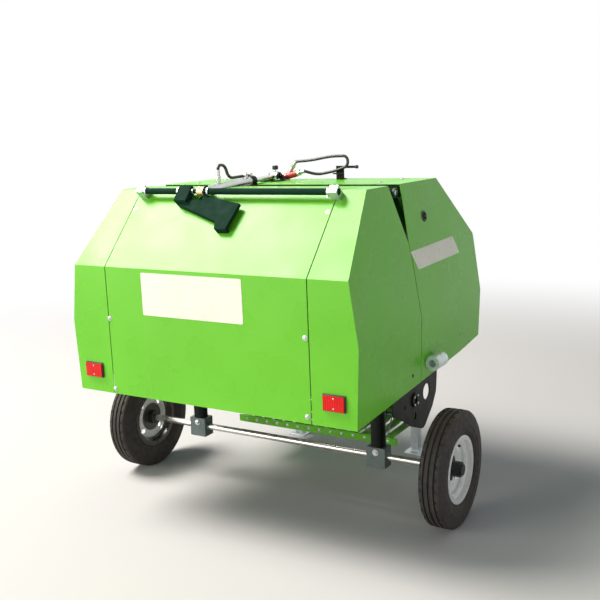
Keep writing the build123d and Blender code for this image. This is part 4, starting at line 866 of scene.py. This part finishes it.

# Axle
# A ground steel bar right through, held in two folded grey blocks under the posts, each with one
# bolt. The posts are black as painted shade, where they stand in the machine's shadow.
block_paint = finish(
    "block_grey", (0.10, 0.135, 0.125), 0.40, metal=0.35, spread=0.14, cloud=14.0, grain=240.0,
    rubbed=(0.55, 0.57, 0.56), dust=0.18,
)
axle_steel = finish(
    "axle_steel", (0.62, 0.61, 0.57), 0.30, metal=0.85, spread=0.14, cloud=12.0, grain=300.0,
    rubbed=(0.75, 0.74, 0.70), dust=0.16,
)
dress(axle_steel, "axle")
CLAMP_BOLT_DOWN = 0.020
for side, _ in SIDES:
    dress(block_paint, f"axle_clamp_{side}")
    # The posts take black paint as painted shade: they stand in the machine's shadow.
    dress(black_paint, f"axle_post_{side}")
    clamp_low, clamp_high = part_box(f"axle_clamp_{side}")
    at = ((clamp_low.x + clamp_high.x) / 2, clamp_low.y, clamp_high.z - CLAMP_BOLT_DOWN)
    clamp_bolts = bmesh.new()
    hex_bolt(clamp_bolts, at, -FRONT, 1.2)
    make(f"clamp_bolts_{side}", clamp_bolts, zinc, "frame")

# Latch pots
# Galvanised pots on saddles at the foot of the front side covers, bored for the tailgate's latch
# and held by two bolts each.
pot_zinc = finish(
    "pot_zinc", (0.66, 0.76, 0.72), 0.36, metal=0.45, spread=0.14, cloud=24.0, grain=240.0,
    rubbed=(0.66, 0.70, 0.74), dust=0.08,
)
POT_X, POT_Z, POT_BOLT_R, POT_BOLT_IN = 0.660, 0.617, 0.0273, 0.022
pot_bolts = bmesh.new()
for side, sign in SIDES:
    dress(pot_zinc, f"latch_pot_{side}")
    soften(0.0012, f"latch_pot_{side}")
    pot_low, pot_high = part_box(f"latch_pot_{side}")
    way = Vector((sign * 0.35, 0, 0.937))
    for y in (pot_low.y + POT_BOLT_IN, pot_high.y - POT_BOLT_IN):
        stamp(pot_bolts, HEX, Vector((sign * POT_X, y, POT_Z)) + way * POT_BOLT_R, way, 0.7, y)
make("latch_pot_bolts", pot_bolts, zinc, "frame")

# Pickup
# A reel of spring tines that turns between bent green bands, carried by two black end plates.
# Each tine is sprung wire with four close coils round its bar.
tine_steel = finish(
    "tine_steel", (0.30, 0.30, 0.29), 0.38, metal=0.8, spread=0.18, cloud=16.0, grain=200.0,
    rubbed=(0.5, 0.5, 0.5), dust=0.18,
)
dress(cover_paint, "pickup_strippers")
REEL_Y = REAR_FACE + 0.945
REEL_AT = Vector((0, REEL_Y, 0.330))
REEL_BARS, BAR_RING, BAR_R, DISC_X = 4, 0.085, 0.011, 0.369
TINES, TINE_PITCH, WIRE, WIRE_SIDES = 13, 0.056, 0.00275, 7
COIL_R, COIL_TURNS, COIL_STEPS, COIL_RISE = 0.01375, 4, 14, 2.1 * WIRE
TINE_BEND_AT, TINE_TIP, TINE_LEAN = 0.140, 0.1895, 0.014
tine = bmesh.new()
bmesh.ops.create_circle(
    tine, segments=WIRE_SIDES, radius=WIRE, matrix=Matrix.Translation((0, COIL_R, BAR_RING)),
)
bmesh.ops.spin(
    tine, geom=tine.verts[:] + tine.edges[:], cent=(0, 0, BAR_RING), axis=RIGHT,
    dvec=(COIL_RISE / COIL_STEPS, 0, 0), angle=-2 * pi * COIL_TURNS, steps=COIL_TURNS * COIL_STEPS,
)
bmesh.ops.holes_fill(tine, edges=[edge for edge in tine.edges if edge.is_boundary], sides=8)
bmesh.ops.recalc_face_normals(tine, faces=tine.faces)
bend = UP * TINE_BEND_AT
rod(tine, (0, COIL_R, BAR_RING), bend, WIRE, WIRE_SIDES)
rod(tine, bend, (0, -TINE_LEAN, TINE_TIP), WIRE, WIRE_SIDES)
bmesh.ops.create_uvsphere(
    tine, u_segments=WIRE_SIDES, v_segments=4, radius=WIRE, matrix=Matrix.Translation(bend)
)
tine_form = as_mesh("tine", tine)
REEL_SHAFTS = (
    # radius and half length of the reel's tube and of the stubs that carry it
    (0.025, DISC_X), (0.015, 0.404),
)
DISC = lathe([(-2.5, 0), (-2.5, 100), (-1.5, 101), (1.5, 101), (2.5, 100), (2.5, 0)], 64)
DISC_BEAD, DISC_BEAD_R, DISC_FACE = 0.004, 0.026, 0.0026
reel, reel_tines, reel_bolts, reel_welds = (bmesh.new() for _ in range(4))
for radius, half in REEL_SHAFTS:
    rod(reel, (-half, 0, 0), (half, 0, 0), radius, 32)
for x in (-DISC_X, 0, DISC_X):
    stamp(reel, DISC, (x, 0, 0), RIGHT)
for x in (DISC_BEAD - DISC_X, DISC_X - DISC_BEAD, -DISC_BEAD, DISC_BEAD):
    weld_round(reel_welds, (x, 0, 0), RIGHT, DISC_BEAD_R)
for number in range(REEL_BARS):
    turned = Matrix.Rotation(radians(45 + 90 * number), 4, "X")
    bar_ends = [turned @ Vector((sign * DISC_X, 0, BAR_RING)) for _, sign in SIDES]
    rod(reel, *bar_ends, BAR_R, 20)
    for end, (_, sign) in zip(bar_ends, SIDES):
        way = RIGHT * sign
        hex_bolt(reel_bolts, end + way * DISC_FACE, way, 0.9, number)
    for index in range(TINES):
        along_bar = Matrix.Translation(((index - (TINES - 1) / 2) * TINE_PITCH, 0, 0))
        press(reel_tines, tine_form, along_bar @ turned)
for shape in (reel, reel_tines, reel_bolts, reel_welds):
    bmesh.ops.translate(shape, verts=shape.verts, vec=REEL_AT)
reel_piece = make("reel_bars_and_discs", reel, frame_paint, "reel")
make("reel_tines", reel_tines, tine_steel, "reel", 50)
make("reel_bolts", reel_bolts, zinc, "reel")
make("reel_welds", reel_welds, frame_paint, "reel")
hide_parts("pickup_reel")
RAIL_Y, RAIL_SHEET, RAIL_HEIGHTS = REEL_Y - 0.174, 0.006, (0.439, 0.192)
rail_bolts = bmesh.new()
for z in RAIL_HEIGHTS:
    for index in range(TINES + 1):
        x = (index - TINES / 2) * TINE_PITCH
        stamp(rail_bolts, DOME, (x, RAIL_Y - RAIL_SHEET, z), -FRONT, 0.7)
make("pickup_rail_bolts", rail_bolts, zinc, "frame")
PICKUP_HALF, END_SHEET, END_FACE = 0.405, 0.006, 0.0062
END_BOLTS, END_BOLT_RING = 4, 0.0245
HANGER_X, HANGER_BOLTS, HANGER_Z = 0.364, (0.890, 0.925), 0.592
END_RING = lathe([(0, 15.2), (0, 33), (5, 33), (6.5, 31), (6.5, 15.2), (0, 15.2)], 36)
end_bolts, end_rings = bmesh.new(), bmesh.new()
for side, sign in SIDES:
    dress(black_paint, f"pickup_end_{side}")
    out = RIGHT * sign
    face = Vector((sign * (PICKUP_HALF + END_SHEET), REEL_AT.y, REEL_AT.z))
    stamp(end_rings, END_RING, face, out)
    for angle, place in around("X", END_BOLTS, END_BOLT_RING, pi / END_BOLTS):
        stamp(end_bolts, HEX, face + out * END_FACE + place, out, 0.75, angle)
    for y in HANGER_BOLTS:
        hex_bolt(end_bolts, (sign * HANGER_X, REAR_FACE + y, HANGER_Z), out, 0.9, y)
make("pickup_bearing_rings", end_rings, black_paint, "frame")
make("pickup_end_bolts", end_bolts, zinc, "frame")

# Hitch and parking legs
# Welded square tubes in dark green, with plated pins and their pull rings, and galvanised legs
# that slide inside the uprights.
dress(frame_paint, "hitch_frame", "cross_tube_low", "cross_tube_high")
soften(0.0020, "hitch_frame")
UPRIGHT_X, UPRIGHT_HALF = 0.3165, 0.025
HITCH_FRONT, HITCH_REAR = REAR_FACE + 1.190, REAR_FACE + 1.140
PIN_PLATE_IN, PIN_PLATE_SPAN = 0.012, (0.460, 0.550)
CROSS_TUBES, TUBE_HALF = (0.670, 0.990), 0.030
EARS, EAR_SPAN, BEAM_SPAN, BEAM_FACE = (0.026, 0.038), (0.962, 1.018), (0.960, 1.020), HITCH_REAR + 0.016
LINK_X, LINK_Y, LINK_Z, LINK_R = 0.3965, REAR_FACE + 1.196, 0.500, 0.0115
LEG_PIN_Z, LEG_Y, LEG_HALF, SOLE_TOP = 0.520, REAR_FACE + 1.165, 0.0195, 0.0065
# Each pull ring's centre from its pin, radius and wire, and how far the link's pin reaches
LEG_RING = (Vector((0, 0.013, -0.017)), 0.0165, 0.0012)
LINK_RING = (Vector((0, 0, -0.024)), 0.0205, 0.0014)
LINK_PIN_DOWN, LINK_PIN_UP, LINK_PIN_R = 0.018, 0.020, 0.0032
hitch_welds, leg_pins = bmesh.new(), bmesh.new()


def pull_ring(shape, centre, radius, wire):
    """A sprung wire ring that hangs across the machine from a pin."""
    ring = bmesh.new()
    bmesh.ops.create_circle(
        ring, segments=8, radius=wire,
        matrix=Matrix.Translation((radius, 0, 0)) @ Matrix.Rotation(pi / 2, 4, "X"),
    )
    spin_round(ring, UP, 28)
    stamp(shape, as_mesh("ring", ring), centre, RIGHT)


PIN_HEAD = lathe(
    [(0, 0), (0, 10), (1, 11), (6, 11), (7, 10), (7, 6), (16, 6), (17, 5), (17, 0)], 24
)
for side, sign in SIDES:
    inner = sign * (UPRIGHT_X - UPRIGHT_HALF)
    outer = sign * (UPRIGHT_X + UPRIGHT_HALF)
    for z in CROSS_TUBES:
        for edge_z in (z - TUBE_HALF, z + TUBE_HALF):
            weld(hitch_welds, (inner, HITCH_REAR, edge_z), (outer, HITCH_REAR, edge_z))
        weld(hitch_welds, (inner, HITCH_REAR, z - TUBE_HALF), (inner, HITCH_REAR, z + TUBE_HALF))
    upright_welds = [(inner, BEAM_FACE, BEAM_SPAN)]
    upright_welds.append((sign * (UPRIGHT_X + UPRIGHT_HALF - PIN_PLATE_IN), HITCH_FRONT, PIN_PLATE_SPAN))
    upright_welds += [(sign * ear, BEAM_FACE, EAR_SPAN) for ear in EARS]
    for x, y, span in upright_welds:
        weld(hitch_welds, *((x, y, z) for z in span))
    weld_round(hitch_welds, (outer, LINK_Y, LINK_Z), RIGHT, LINK_R)
    leg_pin = Vector((sign * UPRIGHT_X, HITCH_FRONT, LEG_PIN_Z))
    stamp(leg_pins, PIN_HEAD, leg_pin, FRONT)
    link_pin = Vector((sign * LINK_X, LINK_Y, LINK_Z))
    for pin, (drop, radius, wire) in ((leg_pin, LEG_RING), (link_pin, LINK_RING)):
        pull_ring(leg_pins, pin + drop, radius, wire)
    rod(leg_pins, link_pin - UP * LINK_PIN_DOWN, link_pin + UP * LINK_PIN_UP, LINK_PIN_R, 12)
    feet = bmesh.new()
    corners = [
        Vector((sign * UPRIGHT_X + dx * LEG_HALF, LEG_Y + dy * LEG_HALF, SOLE_TOP))
        for dx, dy in ((-1, -1), (-1, 1), (1, 1), (1, -1))
    ]
    for corner, following in zip(corners, corners[1:] + corners[:1]):
        weld(feet, corner, following, 0.9)
    make(f"leg_foot_welds_{side}", feet, galvanised, f"leg_{side}")
    dress(galvanised, f"parking_leg_{side}")
    soften(0.0012, f"parking_leg_{side}")
make("hitch_welds", hitch_welds, frame_paint, "frame")
make("leg_and_link_pins", leg_pins, zinc, "frame")

# Gearbox
# A cast grey housing with a lid, fins and a round nose on the lower cross tube, a flanged tube to
# the left side, and a splined input stub of bright steel.
casting = finish(
    "grey_casting", (0.085, 0.090, 0.095), 0.52, metal=0.3, spread=0.18, cloud=10.0, grain=70.0,
    relief=0.0008, rubbed=(0.30, 0.30, 0.30), dust=0.14,
)
dress(casting, "gearbox")
soften(0.0040, "gearbox")
_, case_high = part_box("gearbox")
NOSE_Y, NOSE_BACK, CASE_LONG = case_high.y, 0.016, 0.112
CASE_FRONT = NOSE_Y - NOSE_BACK
CASE_REAR = CASE_FRONT - CASE_LONG
SHAFT_Z, CASE_TOP, CASE_HALF = 0.790, 0.860, 0.070
LID_HALF, LID_IN, LID_THICK, LID_ROUND = 0.058, 0.012, 0.007, 0.002
FINS, FIN_LOW, FIN_PITCH, FIN_THICK, FIN_OUT, FIN_ROUND = 6, -0.040, 0.016, 0.004, 0.006, 0.001
FIN_REAR, FIN_FRONT = CASE_REAR + 0.050, CASE_FRONT - 0.010
GEAR_Y, TUBE_Y, TUBE_ENDS = REAR_FACE + 1.110, REAR_FACE + 1.060, (-CASE_HALF, -0.3405)
NOSE_RING = lathe([(0, 45), (0, 58), (1, 59), (8, 59), (9, 58), (9, 45), (0, 45)], 48)
TUBE_FLANGE = lathe([(0, 24), (0, 44), (8, 44), (9.5, 42.5), (9.5, 24), (0, 24)], 40)
gear_parts = bmesh.new()
stamp(gear_parts, NOSE_RING, (0, CASE_FRONT, SHAFT_Z), FRONT)
block(
    gear_parts, (-LID_HALF, CASE_REAR + LID_IN, CASE_TOP),
    (LID_HALF, CASE_FRONT - LID_IN, CASE_TOP + LID_THICK), LID_ROUND,
)
for number in range(FINS):
    z = SHAFT_Z + FIN_LOW + number * FIN_PITCH
    for _, sign in SIDES:
        near, far = sorted((sign * CASE_HALF, sign * (CASE_HALF + FIN_OUT)))
        block(gear_parts, (near, FIN_REAR, z), (far, FIN_FRONT, z + FIN_THICK), FIN_ROUND)
for x in TUBE_ENDS:
    stamp(gear_parts, TUBE_FLANGE, (x, TUBE_Y, SHAFT_Z), -RIGHT)
make("gearbox_castings", gear_parts, casting, "frame")
NOSE_BOLTS, NOSE_BOLT_RING, NOSE_THICK = 6, 0.0520, 0.009
LID_BOLT_X, LID_BOLT_IN, FOOT_BOLT_X, FOOT_BOLT_Y, FOOT_BOLT_Z = 0.050, 0.020, 0.080, 0.018, 0.720
TUBE_BOLTS, TUBE_BOLT_RING, TUBE_FLANGE_THICK = 4, 0.0345, 0.0095
gear_bolts = bmesh.new()
nose_face = Vector((0, CASE_FRONT + NOSE_THICK, SHAFT_Z))
for angle, place in around("Y", NOSE_BOLTS, NOSE_BOLT_RING):
    hex_bolt(gear_bolts, nose_face + place, FRONT, 0.6, angle)
for x in (-LID_BOLT_X, LID_BOLT_X):
    for y in (CASE_REAR + LID_BOLT_IN, CASE_FRONT - LID_BOLT_IN):
        hex_bolt(gear_bolts, (x, y, CASE_TOP + LID_THICK), UP, 0.6, x)
for x in TUBE_ENDS:
    flange_face = Vector((x - TUBE_FLANGE_THICK, TUBE_Y, SHAFT_Z))
    for angle, place in around("X", TUBE_BOLTS, TUBE_BOLT_RING, pi / TUBE_BOLTS):
        stamp(gear_bolts, HEX, flange_face + place, -RIGHT, 0.75, angle)
for x in (-FOOT_BOLT_X, FOOT_BOLT_X):
    for y in (-FOOT_BOLT_Y, FOOT_BOLT_Y):
        hex_bolt(gear_bolts, (x, GEAR_Y + y, FOOT_BOLT_Z), UP, 0.7, y)
breather = (0, (CASE_REAR + CASE_FRONT) / 2, CASE_TOP + LID_THICK)
stamp(gear_bolts, NUT, breather, UP, 0.9)
make("gearbox_bolts", gear_bolts, zinc, "frame")
KEYS, KEY_LOW, KEY_HIGH, KEY_WIDE, KEY_ROUND = 6, 0.0145, 0.01745, 0.0085, 0.0006
KEY_START, STUB_R, NECK_R = NOSE_Y + 0.003, 0.0149, 0.0155
stub_low, stub_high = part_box("drive_stub")
spline = bmesh.new()
rod(spline, (0, stub_low.y, SHAFT_Z), (0, stub_high.y - 0.0015, SHAFT_Z), STUB_R, 36)
rod(spline, (0, stub_low.y, SHAFT_Z), (0, KEY_START, SHAFT_Z), NECK_R, 36)
for number in range(KEYS):
    low = (-KEY_WIDE / 2, KEY_START, SHAFT_Z + KEY_LOW)
    key = block(spline, low, (KEY_WIDE / 2, stub_high.y, SHAFT_Z + KEY_HIGH), KEY_ROUND)
    turned = Matrix.Rotation(2 * pi * number / KEYS, 3, "Y")
    bmesh.ops.rotate(spline, verts=key, cent=(0, 0, SHAFT_Z), matrix=turned)
spline_piece = make("drive_spline", spline, bright, "drive")
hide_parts("drive_stub")
